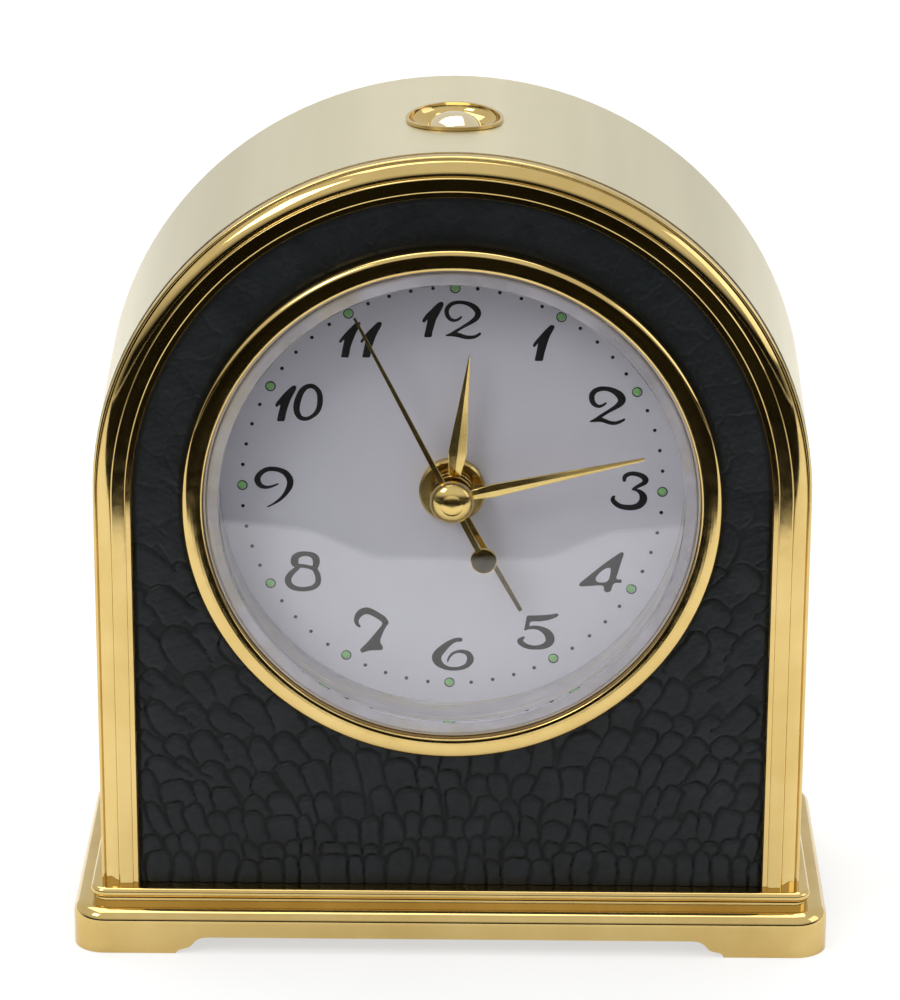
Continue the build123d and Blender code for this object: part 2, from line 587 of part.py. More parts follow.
BOB = Plane(origin=(3.95, D0 + 17.0, ZC + 14.6), x_dir=(0, 1, 0), z_dir=(1, 0, 0))
with BuildPart() as coil_bobbin:
    with BuildSketch(BOB):
        Circle(1.75)
    extrude(amount=11.1)
    with BuildSketch(BOB):
        Circle(3.0)
    extrude(amount=0.6)
    with BuildSketch(BOB.offset(10.5)):
        Circle(3.0)
    extrude(amount=0.6)
    with BuildSketch(BOB.offset(-1)):
        Rectangle(0.84, 2.26)
    extrude(amount=14, mode=Mode.SUBTRACT)
finish(coil_bobbin, "coil_bobbin")

with BuildPart() as coil_winding:
    with BuildSketch(BOB.offset(0.65)):
        Circle(2.75)
        Circle(1.75, mode=Mode.SUBTRACT)
    extrude(amount=9.8)
finish(coil_winding, "coil_winding")

with BuildPart() as circuit_board:
    slab(19.3, 20.1, -26.5, -2.2, -0.8, 18.5)
    disc(19, 21, 1.0, -24.4, 16.4, mode=Mode.SUBTRACT)
finish(circuit_board, "circuit_board")

with BuildPart() as ic_blob:
    disc(18.4, 19.3, 2.4, -9.0, 12.0)
    fillet(ic_blob.faces().sort_by(Axis.Y)[0].edges(), 0.7)
finish(ic_blob, "ic_blob")

with BuildPart() as quartz_can:
    with BuildSketch(Plane(origin=(-23.0, D0 + 18.28, ZC + 4.0), x_dir=(0, 1, 0), z_dir=(1, 0, 0))):
        Circle(1.0)
    extrude(amount=6.2)
finish(quartz_can, "quartz_can")

with BuildPart() as buzzer_disc:
    disc(20.45, 20.65, 8.3, -17.0, 10.0)
finish(buzzer_disc, "buzzer_disc")

with BuildPart() as buzzer_ring:
    disc(20.15, 21.2, 8.75, -17.0, 10.0, bore=8.35)
    disc(20.65, 21.2, 8.35, -17.0, 10.0, bore=7.6)
finish(buzzer_ring, "buzzer_ring")

# ---------------------------------------------------------------------- cell
CELL_Z, CELL_D = -19.6, 15.15
CELL = Plane(origin=(-24.6, D0 + CELL_D, ZC + CELL_Z), x_dir=(0, 1, 0), z_dir=(1, 0, 0))
with BuildPart() as battery_cell:
    with BuildSketch(CELL):
        Circle(7.1)
    extrude(amount=49.2)
    fillet(battery_cell.edges(), 0.5)
    with BuildSketch(CELL.offset(49.0)):
        Circle(2.7)
    extrude(amount=1.2)
finish(battery_cell, "battery_cell")

with BuildPart() as battery_contact_positive:
    slab(10.6, 19.7, 26.45, 26.75, -23.6, -15.6)
    with BuildSketch(Plane(origin=(0, D0 + 13.0, ZC + CELL_Z), x_dir=(1, 0, 0), z_dir=(0, 1, 0))) as tongue:
        with BuildLine():
            Polyline((26.45, -3.0), (25.65, -0.6), (25.65, 0.6), (26.45, 3.0), (26.45, 2.5), (25.85, 0.5), (25.85, -0.5), (26.45, -2.5), close=True)
        make_face()
    extrude(tongue.sketch, amount=4.2)
finish(battery_contact_positive, "battery_contact_positive")

with BuildPart() as battery_contact_negative:
    slab(10.6, 19.7, -26.75, -26.5, -24.6, -14.6)
    with BuildSketch(Plane(origin=(0, D0 + 12.4, ZC + CELL_Z), x_dir=(1, 0, 0), z_dir=(0, 1, 0))) as leaf:
        with BuildLine():
            Polyline((-26.5, -4.6), (-24.68, -1.0), (-24.68, 1.0), (-26.5, 4.6), (-26.5, 4.1), (-24.93, 0.9), (-24.93, -0.9), (-26.5, -4.1), close=True)
        make_face()
    extrude(leaf.sketch, amount=5.4)
finish(battery_contact_negative, "battery_contact_negative")

# ---------------------------------------------------------------- gear train
SEC_PINION_PHASE = 0.0
PH_THIRD_WHEEL = mesh_phase(O, THIRD, 10, SEC_PINION_PHASE, 80)
PH_THIRD_PINION = 0.0
PH_CENTRE = mesh_phase(THIRD, O, 10, PH_THIRD_PINION, 75)
PH_SEC_WHEEL = 0.0
PH_INTER_PINION = mesh_phase(O, INTER, 50, PH_SEC_WHEEL, 10)
PH_INTER_WHEEL = 0.0
PH_ROTOR = mesh_phase(INTER, ROTOR, 60, PH_INTER_WHEEL, 10)
PH_MINUTE_WHEEL = 0.0
PH_CANNON = mesh_phase(MINUTE_WHEEL, O, 45, PH_MINUTE_WHEEL, 15)
PH_TIME_SET = mesh_phase(MINUTE_WHEEL, TIME_SET, 45, PH_MINUTE_WHEEL, 15)
PH_MINUTE_PINION = 0.0
PH_HOUR = mesh_phase(MINUTE_WHEEL, O, 12, PH_MINUTE_PINION, 48)
PH_IDLER = 0.0
PH_ALARM = mesh_phase(IDLER, O, 30, PH_IDLER, 48)
PH_ALARM_SET = mesh_phase(IDLER, ALARM_SET, 30, PH_IDLER, 15)

with BuildPart() as seconds_wheel:
    disc(1.45, 18.33, 0.35)
    disc(18.3, 18.85, 0.22)
    gear(13.15, 13.85, 10, M_THIRD, SEC_PINION_PHASE, O)
    disc(13.85, 14.2, 0.75)
    gear(14.2, 14.8, 50, M_FAST, PH_SEC_WHEEL, O)
finish(seconds_wheel, "seconds_wheel")

with BuildPart() as third_wheel:
    disc(7.95, 18.33, 0.4, *THIRD)
    disc(7.3, 7.95, 0.25, *THIRD)
    disc(18.3, 18.85, 0.25, *THIRD)
    gear(10.95, 11.65, 10, M_CENTRE, PH_THIRD_PINION, THIRD)
    disc(13.0, 13.2, 0.8, *THIRD)
    gear(13.2, 13.8, 80, M_THIRD, PH_THIRD_WHEEL, THIRD)
finish(third_wheel, "third_wheel")

with BuildPart() as intermediate_wheel:
    disc(12.9, 18.33, 0.3, *INTER)
    disc(12.3, 12.9, 0.22, *INTER)
    disc(18.3, 18.85, 0.22, *INTER)
    gear(14.15, 14.85, 10, M_FAST, PH_INTER_PINION, INTER)
    disc(14.85, 15.1, 0.65, *INTER)
    gear(15.1, 15.7, 60, M_ROTOR, PH_INTER_WHEEL, INTER)
finish(intermediate_wheel, "intermediate_wheel")

with BuildPart() as rotor_arbor:
    disc(12.9, 18.33, 0.25, *ROTOR)
    disc(12.3, 12.9, 0.18, *ROTOR)
    disc(18.3, 18.85, 0.18, *ROTOR)
    gear(15.05, 15.75, 10, M_ROTOR, PH_ROTOR, ROTOR)
finish(rotor_arbor, "rotor_arbor")

with BuildPart() as rotor_magnet:
    disc(16.1, 18.0, 2.2, *ROTOR, bore=0.25)
finish(rotor_magnet, "rotor_magnet")

with BuildPart() as centre_wheel:
    gear(11.0, 11.6, 75, M_CENTRE, PH_CENTRE, O, bore=0.8)
    disc(11.55, 11.85, 1.6, bore=0.8)
finish(centre_wheel, "centre_wheel")

with BuildPart() as cannon_pinion:
    disc(2.55, 11.85, 0.75)
    gear(10.0, 10.75, 15, M_MOTION, PH_CANNON, O)
    disc(2, 13, 0.4, mode=Mode.SUBTRACT)
finish(cannon_pinion, "cannon_pinion")

with BuildPart() as minute_wheel:
    gear(8.95, 10.0, 12, M_MOTION, PH_MINUTE_PINION, MINUTE_WHEEL)
    gear(10.0, 10.7, 45, M_MOTION, PH_MINUTE_WHEEL, MINUTE_WHEEL)
    disc(8, 12, 0.65, *MINUTE_WHEEL, mode=Mode.SUBTRACT)
finish(minute_wheel, "minute_wheel")

with BuildPart() as hour_wheel:
    disc(3.5, 9.7, 1.2)
    gear(9.1, 9.7, 48, M_MOTION, PH_HOUR, O)
    disc(3, 11, 0.8, mode=Mode.SUBTRACT)
finish(hour_wheel, "hour_wheel")

with BuildPart() as alarm_wheel:
    disc(4.3, 8.7, 1.65)
    gear(8.1, 8.7, 48, M_MOTION, PH_ALARM, O)
    disc(3, 11, 1.25, mode=Mode.SUBTRACT)
finish(alarm_wheel, "alarm_wheel")

with BuildPart() as alarm_idler:
    gear(8.1, 8.7, 30, M_MOTION, PH_IDLER, IDLER, bore=0.65)
finish(alarm_idler, "alarm_idler")

with BuildPart() as time_set_arbor:
    disc(8.0, 30.6, 1.0, *TIME_SET)
    disc(7.3, 8.0, 0.6, *TIME_SET)
    gear(10.0, 10.7, 15, M_MOTION, PH_TIME_SET, TIME_SET)
finish(time_set_arbor, "time_set_arbor")

with BuildPart() as alarm_set_arbor:
    disc(8.0, 30.6, 1.0, *ALARM_SET)
    disc(7.3, 8.0, 0.6, *ALARM_SET)
    gear(8.1, 8.7, 15, M_MOTION, PH_ALARM_SET, ALARM_SET)
finish(alarm_set_arbor, "alarm_set_arbor")


def knob_outline(n, r_out, r_in):
    pts = []
    for k in range(n):
        a = 360 / n * k
        for off, r in ((-0.27, r_out), (0.27, r_out), (0.36, r_in), (0.64, r_in)):
            t = math.radians(a + off * 360 / n)
            pts.append((r * math.cos(t), r * math.sin(t)))
    return pts


with BuildPart() as time_set_knob:
    outline(28.0, 31.2, knob_outline(24, 4.7, 4.4), *TIME_SET)
    disc(31.2, 31.5, 4.1, *TIME_SET)
    disc(27, 30.6, 1.0, *TIME_SET, mode=Mode.SUBTRACT)
    disc(31.1, 32, 2.6, *TIME_SET, mode=Mode.SUBTRACT)
finish(time_set_knob, "time_set_knob")

with BuildPart() as alarm_set_knob:
    outline(28.0, 31.2, knob_outline(24, 4.7, 4.4), *ALARM_SET)
    disc(31.2, 31.5, 4.1, *ALARM_SET)
    disc(27, 30.6, 1.0, *ALARM_SET, mode=Mode.SUBTRACT)
    disc(31.1, 32, 2.6, *ALARM_SET, mode=Mode.SUBTRACT)
finish(alarm_set_knob, "alarm_set_knob")

# --------------------------------------------------------------------- hands
with BuildPart() as alarm_hand:
    disc(4.3, 4.6, 2.3, bore=1.65)
    outline(4.35, 4.6, along(ALARM_ANGLE, [(2.0, -0.33), (ALARM_LEN - 0.4, -0.22), (ALARM_LEN, 0.0), (ALARM_LEN - 0.4, 0.22), (2.0, 0.33)]))
finish(alarm_hand, "alarm_hand")

with BuildPart() as hour_hand:
    disc(3.45, 3.85, 2.2, bore=1.2)
    outline(3.5, 3.85, along(HOUR_ANGLE, [(1.7, -0.55), (4.5, -0.9), (HOUR_LEN - 0.1, -0.06), (HOUR_LEN, 0.0), (HOUR_LEN - 0.1, 0.06), (4.5, 0.9), (1.7, 0.55)]))
finish(hour_hand, "hour_hand")

with BuildPart() as minute_hand:
    disc(2.5, 2.9, 1.9, bore=0.75)
    outline(2.55, 2.9, along(MIN_ANGLE, [(1.3, -0.45), (4.4, -0.7), (MIN_LEN - 0.1, -0.05), (MIN_LEN, 0.0), (MIN_LEN - 0.1, 0.05), (4.4, 0.7), (1.3, 0.45)]))
finish(minute_hand, "minute_hand")

with BuildPart() as seconds_hand:
    disc(1.85, 2.1, 1.2, bore=0.35)
    outline(1.85, 2.05, along(SEC_ANGLE, [(0.8, -0.3), (SEC_LEN, -0.12), (SEC_LEN, 0.12), (0.8, 0.3)]))
    outline(1.85, 2.05, along(SEC_ANGLE, [(-0.8, -0.3), (-6.4, -0.26), (-6.4, 0.26), (-0.8, 0.3)]))
    tail = along(SEC_ANGLE, [(-7.3, 0.0)])[0]
    disc(1.85, 2.05, 1.37, *tail)
finish(seconds_hand, "seconds_hand")

with BuildPart() as seconds_cap:
    with BuildSketch(section()):
        with BuildLine():
            ThreePointArc((0, 0.9), (1.45, 1.12), (2.3, 1.8))
            Polyline((2.3, 1.8), (2.3, 1.85), (0.35, 1.85), (0.35, 1.45), (0, 1.45), (0, 0.9))
        make_face()
    revolve(axis=spin())
finish(seconds_cap, "seconds_cap")

# --------------------------------------------------------------- alarm switch
with BuildPart() as alarm_switch_slider:
    slab(COVER_FRONT - 0.8, COVER_FRONT - 0.1, -4.6, 0.6, 11.4, 14.6)
    slab(COVER_FRONT - 0.2, 28.0, -3.1, -0.9, 12.28, 13.72)
    slab(27.15, 29.0, -3.6, -0.4, 11.5, 14.5)
    for k in range(3):
        slab(28.95, 29.25, -3.0 + 0.85 * k, -2.7 + 0.85 * k, 11.6, 14.4)
finish(alarm_switch_slider, "alarm_switch_slider")

with BuildPart() as switch_contact:
    slab(MOV_REAR, MOV_REAR + 0.25, -5.0, 5.0, 11.4, 14.6)
    with BuildSketch(Plane(origin=(0, D0 + MOV_REAR + 0.2, ZC + 12.0), x_dir=(1, 0, 0), z_dir=(0, 0, 1))) as blade:
        with BuildLine():
            Polyline((-4.8, 0.0), (-1.0, 1.5), (1.0, 1.5), (4.8, 0.0), (4.2, 0.0), (0.9, 1.3), (-0.9, 1.3), (-4.2, 0.0), close=True)
        make_face()
    extrude(blade.sketch, amount=2.0)
finish(switch_contact, "switch_contact")
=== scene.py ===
import math

import bmesh
import bpy
import numpy as np
from mathutils import Matrix, Vector


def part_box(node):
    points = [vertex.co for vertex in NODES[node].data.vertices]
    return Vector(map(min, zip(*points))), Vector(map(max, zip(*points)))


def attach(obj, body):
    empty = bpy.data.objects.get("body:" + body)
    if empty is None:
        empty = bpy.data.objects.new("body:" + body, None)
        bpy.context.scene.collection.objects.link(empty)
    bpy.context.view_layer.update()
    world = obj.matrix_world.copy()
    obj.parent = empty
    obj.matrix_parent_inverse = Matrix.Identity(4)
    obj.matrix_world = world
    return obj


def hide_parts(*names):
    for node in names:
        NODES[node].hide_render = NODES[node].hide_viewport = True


# Looks of the travel alarm clock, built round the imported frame.
# x and z are measured from the dial centre, d is the depth behind the front
# plane of the arched frame, all in millimetres until make() writes metres.

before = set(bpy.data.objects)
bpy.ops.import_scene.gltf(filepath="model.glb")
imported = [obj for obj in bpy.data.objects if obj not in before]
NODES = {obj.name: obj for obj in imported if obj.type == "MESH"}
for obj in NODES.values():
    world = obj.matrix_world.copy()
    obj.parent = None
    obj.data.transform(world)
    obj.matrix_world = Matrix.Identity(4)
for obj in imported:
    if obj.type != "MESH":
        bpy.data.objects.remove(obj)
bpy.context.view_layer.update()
MM = 0.001
D0 = round(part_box("front_frame")[0].y / MM, 3)
ZC = round((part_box("dial")[0].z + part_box("dial")[1].z) / 2 / MM, 3)
PLINTH_TOP = round(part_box("plinth")[1].z / MM, 3)
DIAL_FRONT = round(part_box("dial")[0].y / MM - D0, 3)
PRINT_TURN = math.radians(0.555)
TAU = 2 * math.pi


# ------------------------------------------------------------------ materials
def start(name):
    m = bpy.data.materials.new(name)
    m.use_nodes = True
    nt = m.node_tree
    nt.nodes.clear()
    out = nt.nodes.new("ShaderNodeOutputMaterial")
    b = nt.nodes.new("ShaderNodeBsdfPrincipled")
    nt.links.new(b.outputs["BSDF"], out.inputs["Surface"])
    c = nt.nodes.new("ShaderNodeTexCoord")
    return m, nt, b, c.outputs["Object"]


def scaled(nt, vec, sx, sy, sz):
    n = nt.nodes.new("ShaderNodeMapping")
    n.inputs["Scale"].default_value = (sx, sy, sz)
    nt.links.new(vec, n.inputs["Vector"])
    return n.outputs["Vector"]


def noise(nt, vec, scale, detail=4.0, rough=0.55, warp=0.0):
    n = nt.nodes.new("ShaderNodeTexNoise")
    n.inputs["Scale"].default_value = scale
    n.inputs["Detail"].default_value = detail
    n.inputs["Roughness"].default_value = rough
    n.inputs["Distortion"].default_value = warp
    nt.links.new(vec, n.inputs["Vector"])
    return n.outputs["Fac"]


def cells(nt, vec, scale, feature="F1", out="Distance"):
    n = nt.nodes.new("ShaderNodeTexVoronoi")
    n.feature = feature
    n.inputs["Scale"].default_value = scale
    nt.links.new(vec, n.inputs["Vector"])
    return n.outputs[out]


def ramp(nt, fac, *stops):
    n = nt.nodes.new("ShaderNodeValToRGB")
    e = n.color_ramp.elements
    while len(e) < len(stops):
        e.new(0.5)
    for k, (at, col) in enumerate(stops):
        e[k].position = at
        e[k].color = (*col, 1.0) if hasattr(col, "__len__") else (col, col, col, 1.0)
    nt.links.new(fac, n.inputs["Fac"])
    return n.outputs["Color"]


def remap(nt, fac, lo, hi, to_lo, to_hi):
    n = nt.nodes.new("ShaderNodeMapRange")
    for k, v in zip(("From Min", "From Max", "To Min", "To Max"), (lo, hi, to_lo, to_hi)):
        n.inputs[k].default_value = v
    nt.links.new(fac, n.inputs["Value"])
    return n.outputs["Result"]


def calc(nt, op, a, b=None):
    n = nt.nodes.new("ShaderNodeMath")
    n.operation = op
    for k, v in ((0, a), (1, b)):
        if v is None:
            continue
        if isinstance(v, (int, float)):
            n.inputs[k].default_value = v
        else:
            nt.links.new(v, n.inputs[k])
    return n.outputs[0]


def bump(nt, b, height, distance, strength=1.0, after=None):
    n = nt.nodes.new("ShaderNodeBump")
    n.inputs["Strength"].default_value = strength
    n.inputs["Distance"].default_value = distance
    nt.links.new(height, n.inputs["Height"])
    if after is not None:
        nt.links.new(after, n.inputs["Normal"])
    nt.links.new(n.outputs["Normal"], b.inputs["Normal"])
    return n.outputs["Normal"]


def around(nt, obj, arch):
    """Distance from the dial axis; with arch, the distance follows the straight legs too."""
    sep = nt.nodes.new("ShaderNodeSeparateXYZ")
    nt.links.new(obj, sep.inputs[0])
    up = calc(nt, "SUBTRACT", sep.outputs["Z"], ZC * MM)
    if arch:
        up = calc(nt, "MAXIMUM", up, 0.0)
    r = calc(nt, "SQRT", calc(nt, "ADD", calc(nt, "MULTIPLY", sep.outputs["X"], sep.outputs["X"]), calc(nt, "MULTIPLY", up, up)))
    join = nt.nodes.new("ShaderNodeCombineXYZ")
    nt.links.new(r, join.inputs["X"])
    nt.links.new(calc(nt, "MULTIPLY", sep.outputs["Z"], 0.045), join.inputs["Y"])
    nt.links.new(sep.outputs["Y"], join.inputs["Z"])
    return join.outputs[0]


def gold(name, light, dark, rough=(0.05, 0.11), lines=None, ripple=1.4e-6):
    """Polished plate: slow tone drift, fine pits, and buffing lines that follow the part."""
    m, nt, b, obj = start(name)
    b.inputs["Metallic"].default_value = 1.0
    nt.links.new(ramp(nt, noise(nt, obj, 130.0, 5.0), (0.32, dark), (0.68, light)), b.inputs["Base Color"])
    nt.links.new(remap(nt, noise(nt, obj, 700.0, 6.0, 0.65), 0.3, 0.7, *rough), b.inputs["Roughness"])
    wave = bump(nt, b, noise(nt, obj, 260.0, 2.0), 5.0e-6, 0.6)
    pits = cells(nt, obj, 900.0)
    n2 = bump(nt, b, remap(nt, pits, 0.0, 0.09, 0.0, 1.0), 1.2e-6, 0.35, wave)
    if lines:
        streak = noise(nt, around(nt, obj, lines == "arch"), 5200.0, 3.0, 0.7)
        bump(nt, b, streak, ripple, 1.0, n2)
    return m


def satin(name, light, dark, scale, rough, depth, tint=0.5):
    """Brushed metal: streaks run where scale is small."""
    m, nt, b, obj = start(name)
    b.inputs["Metallic"].default_value = 1.0
    fine = noise(nt, scaled(nt, obj, *scale), 1.0, 4.0, 0.75)
    slow = noise(nt, scaled(nt, obj, 130.0, 9.0, 130.0), 1.0, 3.0)
    both = calc(nt, "ADD", calc(nt, "MULTIPLY", fine, tint), calc(nt, "MULTIPLY", slow, 1.0 - tint))
    nt.links.new(ramp(nt, both, (0.3, dark), (0.7, light)), b.inputs["Base Color"])
    nt.links.new(remap(nt, fine, 0.25, 0.75, *rough), b.inputs["Roughness"])
    bump(nt, b, fine, depth, 1.0)
    return m


def metal(name, light, dark, rough, grain=900.0, depth=4e-6, turned=None):
    m, nt, b, obj = start(name)
    b.inputs["Metallic"].default_value = 1.0
    nt.links.new(ramp(nt, noise(nt, obj, 220.0, 5.0), (0.3, dark), (0.7, light)), b.inputs["Base Color"])
    nt.links.new(remap(nt, noise(nt, obj, grain, 5.0, 0.6), 0.3, 0.7, *rough), b.inputs["Roughness"])
    first = bump(nt, b, noise(nt, obj, grain * 1.7, 4.0), depth, 0.8)
    if turned:
        bump(nt, b, noise(nt, around(nt, obj, False), turned, 2.0), depth * 0.6, 1.0, first)
    return m


def plastic(name, light, dark, rough, grain=1600.0, depth=6e-6, coat=0.0, spec=0.5):
    """Moulded plastic: fine spark-eroded texture, slight tone drift, wear in the roughness."""
    m, nt, b, obj = start(name)
    b.inputs["Specular IOR Level"].default_value = spec
    b.inputs["Coat Weight"].default_value = coat
    b.inputs["Coat Roughness"].default_value = 0.12
    nt.links.new(ramp(nt, noise(nt, obj, 90.0, 6.0), (0.3, dark), (0.7, light)), b.inputs["Base Color"])
    nt.links.new(remap(nt, noise(nt, obj, 350.0, 6.0, 0.7), 0.3, 0.7, *rough), b.inputs["Roughness"])
    first = bump(nt, b, noise(nt, obj, grain, 3.0, 0.6), depth, 1.0)
    bump(nt, b, cells(nt, obj, grain * 1.9), depth * 0.5, 0.6, first)
    return m


def leather_look(name):
    m, nt, b, obj = start(name)
    b.inputs["Specular IOR Level"].default_value = 0.30
    at = nt.nodes.new("ShaderNodeAttribute")
    at.attribute_name = "crease_shade"
    tone = noise(nt, obj, 240.0, 6.0, 0.62)
    body = ramp(nt, tone, (0.28, (0.0012, 0.0026, 0.0040)), (0.5, (0.0026, 0.0048, 0.0068)), (0.75, (0.0054, 0.0088, 0.0120)))
    # Painted shade: the crease mask blends the base colour towards near-black in the creases, and also raises the
    # roughness there.
    mix = nt.nodes.new("ShaderNodeMix")
    mix.data_type = "RGBA"
    nt.links.new(at.outputs["Fac"], mix.inputs["Factor"])
    nt.links.new(body, mix.inputs["A"])
    mix.inputs["B"].default_value = (0.0012, 0.0016, 0.0020, 1.0)
    nt.links.new(mix.outputs["Result"], b.inputs["Base Color"])
    nt.links.new(remap(nt, calc(nt, "ADD", calc(nt, "MULTIPLY", noise(nt, obj, 900.0, 5.0), 0.6), calc(nt, "MULTIPLY", at.outputs["Fac"], 0.4)), 0.2, 0.7, 0.42, 0.72), b.inputs["Roughness"])
    n1 = bump(nt, b, cells(nt, obj, 2600.0), 1.6e-5, 0.55)
    n2 = bump(nt, b, noise(nt, scaled(nt, obj, 1.0, 1.0, 0.55), 1500.0, 5.0, 0.7, 0.6), 3.0e-5, 0.5, n1)
    bump(nt, b, noise(nt, obj, 480.0, 3.0), 5.0e-5, 0.35, n2)
    return m


def dial_look(name):
    m, nt, b, obj = start(name)
    b.inputs["Specular IOR Level"].default_value = 0.35
    grain = noise(nt, obj, 2600.0, 3.0, 0.8)
    blot = noise(nt, obj, 210.0, 5.0)
    mixed = calc(nt, "ADD", calc(nt, "MULTIPLY", grain, 0.45), calc(nt, "MULTIPLY", blot, 0.55))
    nt.links.new(ramp(nt, mixed, (0.30, DIAL_DARK), (0.70, DIAL_LIGHT)), b.inputs["Base Color"])
    nt.links.new(remap(nt, blot, 0.3, 0.7, 0.50, 0.62), b.inputs["Roughness"])
    bump(nt, b, grain, 3.0e-6, 0.8)
    return m


def ink_look(name):
    m, nt, b, obj = start(name)
    b.inputs["Specular IOR Level"].default_value = 0.3
    nt.links.new(ramp(nt, noise(nt, obj, 1800.0, 5.0), (0.3, (0.0042, 0.0044, 0.0058)), (0.7, (0.0090, 0.0093, 0.0115))), b.inputs["Base Color"])
    nt.links.new(remap(nt, noise(nt, obj, 2400.0, 3.0), 0.3, 0.7, 0.45, 0.65), b.inputs["Roughness"])
    bump(nt, b, noise(nt, obj, 3800.0, 3.0), 3.0e-6, 0.8)
    return m


def lume_look(name):
    m, nt, b, obj = start(name)
    b.inputs["Subsurface Weight"].default_value = 0.15
    b.inputs["Subsurface Radius"].default_value = (0.0002, 0.0003, 0.0002)
    nt.links.new(ramp(nt, noise(nt, obj, 3800.0, 5.0, 0.7), (0.3, (0.19, 0.47, 0.155)), (0.7, (0.36, 0.72, 0.29))), b.inputs["Base Color"])
    nt.links.new(remap(nt, noise(nt, obj, 5200.0, 3.0), 0.3, 0.7, 0.55, 0.85), b.inputs["Roughness"])
    bump(nt, b, noise(nt, obj, 6500.0, 3.0), 1.2e-5, 0.9)
    return m


def felt_look(name):
    m, nt, b, obj = start(name)
    b.inputs["Sheen Weight"].default_value = 0.35
    b.inputs["Sheen Roughness"].default_value = 0.5
    b.inputs["Specular IOR Level"].default_value = 0.1
    f = noise(nt, obj, 1900.0, 8.0, 0.8, 1.2)
    nt.links.new(ramp(nt, f, (0.3, (0.004, 0.014, 0.008)), (0.7, (0.018, 0.050, 0.030))), b.inputs["Base Color"])
    nt.links.new(remap(nt, f, 0.3, 0.7, 0.85, 1.0), b.inputs["Roughness"])
    bump(nt, b, f, 1.2e-4, 0.8)
    return m


def winding_look(name):
    m, nt, b, obj = start(name)
    b.inputs["Metallic"].default_value = 0.85
    b.inputs["Coat Weight"].default_value = 0.4
    f = noise(nt, scaled(nt, obj, 9000.0, 300.0, 300.0), 1.0, 2.0)
    nt.links.new(ramp(nt, f, (0.35, (0.20, 0.055, 0.02)), (0.65, (0.62, 0.23, 0.09))), b.inputs["Base Color"])
    nt.links.new(remap(nt, f, 0.3, 0.7, 0.25, 0.4), b.inputs["Roughness"])
    bump(nt, b, f, 4e-5, 1.0)
    return m


def glass_look(name):
    """Clear polished styrene. Lamps pass straight through it."""
    m, nt, b, obj = start(name)
    b.inputs["Base Color"].default_value = (0.975, 0.98, 0.985, 1.0)
    b.inputs["Transmission Weight"].default_value = 1.0
    b.inputs["IOR"].default_value = 1.49
    nt.links.new(remap(nt, noise(nt, obj, 60.0, 5.0), 0.3, 0.7, 0.0, 0.012), b.inputs["Roughness"])
    path = nt.nodes.new("ShaderNodeLightPath")
    clear = nt.nodes.new("ShaderNodeBsdfTransparent")
    clear.inputs["Color"].default_value = (0.93, 0.94, 0.95, 1.0)
    mix = nt.nodes.new("ShaderNodeMixShader")
    out = next(n for n in nt.nodes if n.type == "OUTPUT_MATERIAL")
    nt.links.new(path.outputs["Is Shadow Ray"], mix.inputs[0])
    nt.links.new(b.outputs[0], mix.inputs[1])
    nt.links.new(clear.outputs[0], mix.inputs[2])
    nt.links.new(mix.outputs[0], out.inputs["Surface"])
    return m


def wall_reflection_look(name):
    """Side wall of the crystal: clear styrene mixed with a pale diffuse layer in streaks that run round it; the pale
    layer is painted reflection.
    """
    m = glass_look(name)
    nt = m.node_tree
    out = next(n for n in nt.nodes if n.type == "OUTPUT_MATERIAL")
    before = out.inputs["Surface"].links[0].from_socket
    obj = nt.nodes.new("ShaderNodeTexCoord").outputs["Object"]
    streak = noise(nt, scaled(nt, obj, 60.0, 700.0, 60.0), 1.0, 4.0)
    # Painted reflection: a pale lavender and beige diffuse layer, mixed over a third to a half of the clear wall.
    pale = nt.nodes.new("ShaderNodeBsdfDiffuse")
    nt.links.new(ramp(nt, streak, (0.30, (0.50, 0.48, 0.52)), (0.48, (0.60, 0.58, 0.64)), (0.56, (0.58, 0.53, 0.46)), (0.70, (0.74, 0.71, 0.72))), pale.inputs["Color"])
    mix = nt.nodes.new("ShaderNodeMixShader")
    nt.links.new(remap(nt, noise(nt, obj, 160.0, 3.0), 0.3, 0.7, 0.34, 0.52), mix.inputs[0])
    nt.links.new(before, mix.inputs[1])
    nt.links.new(pale.outputs[0], mix.inputs[2])
    nt.links.new(mix.outputs[0], out.inputs["Surface"])
    return m


GOLD_L, GOLD_D = (0.655, 0.487, 0.197), (0.575, 0.410, 0.148)
HAND_L, HAND_D = (0.760, 0.570, 0.215), (0.680, 0.480, 0.160)
DIAL_L0 = (0.700, 0.690, 0.765)
DIAL_LIGHT, DIAL_DARK = DIAL_L0, tuple(v * 0.93 for v in DIAL_L0)

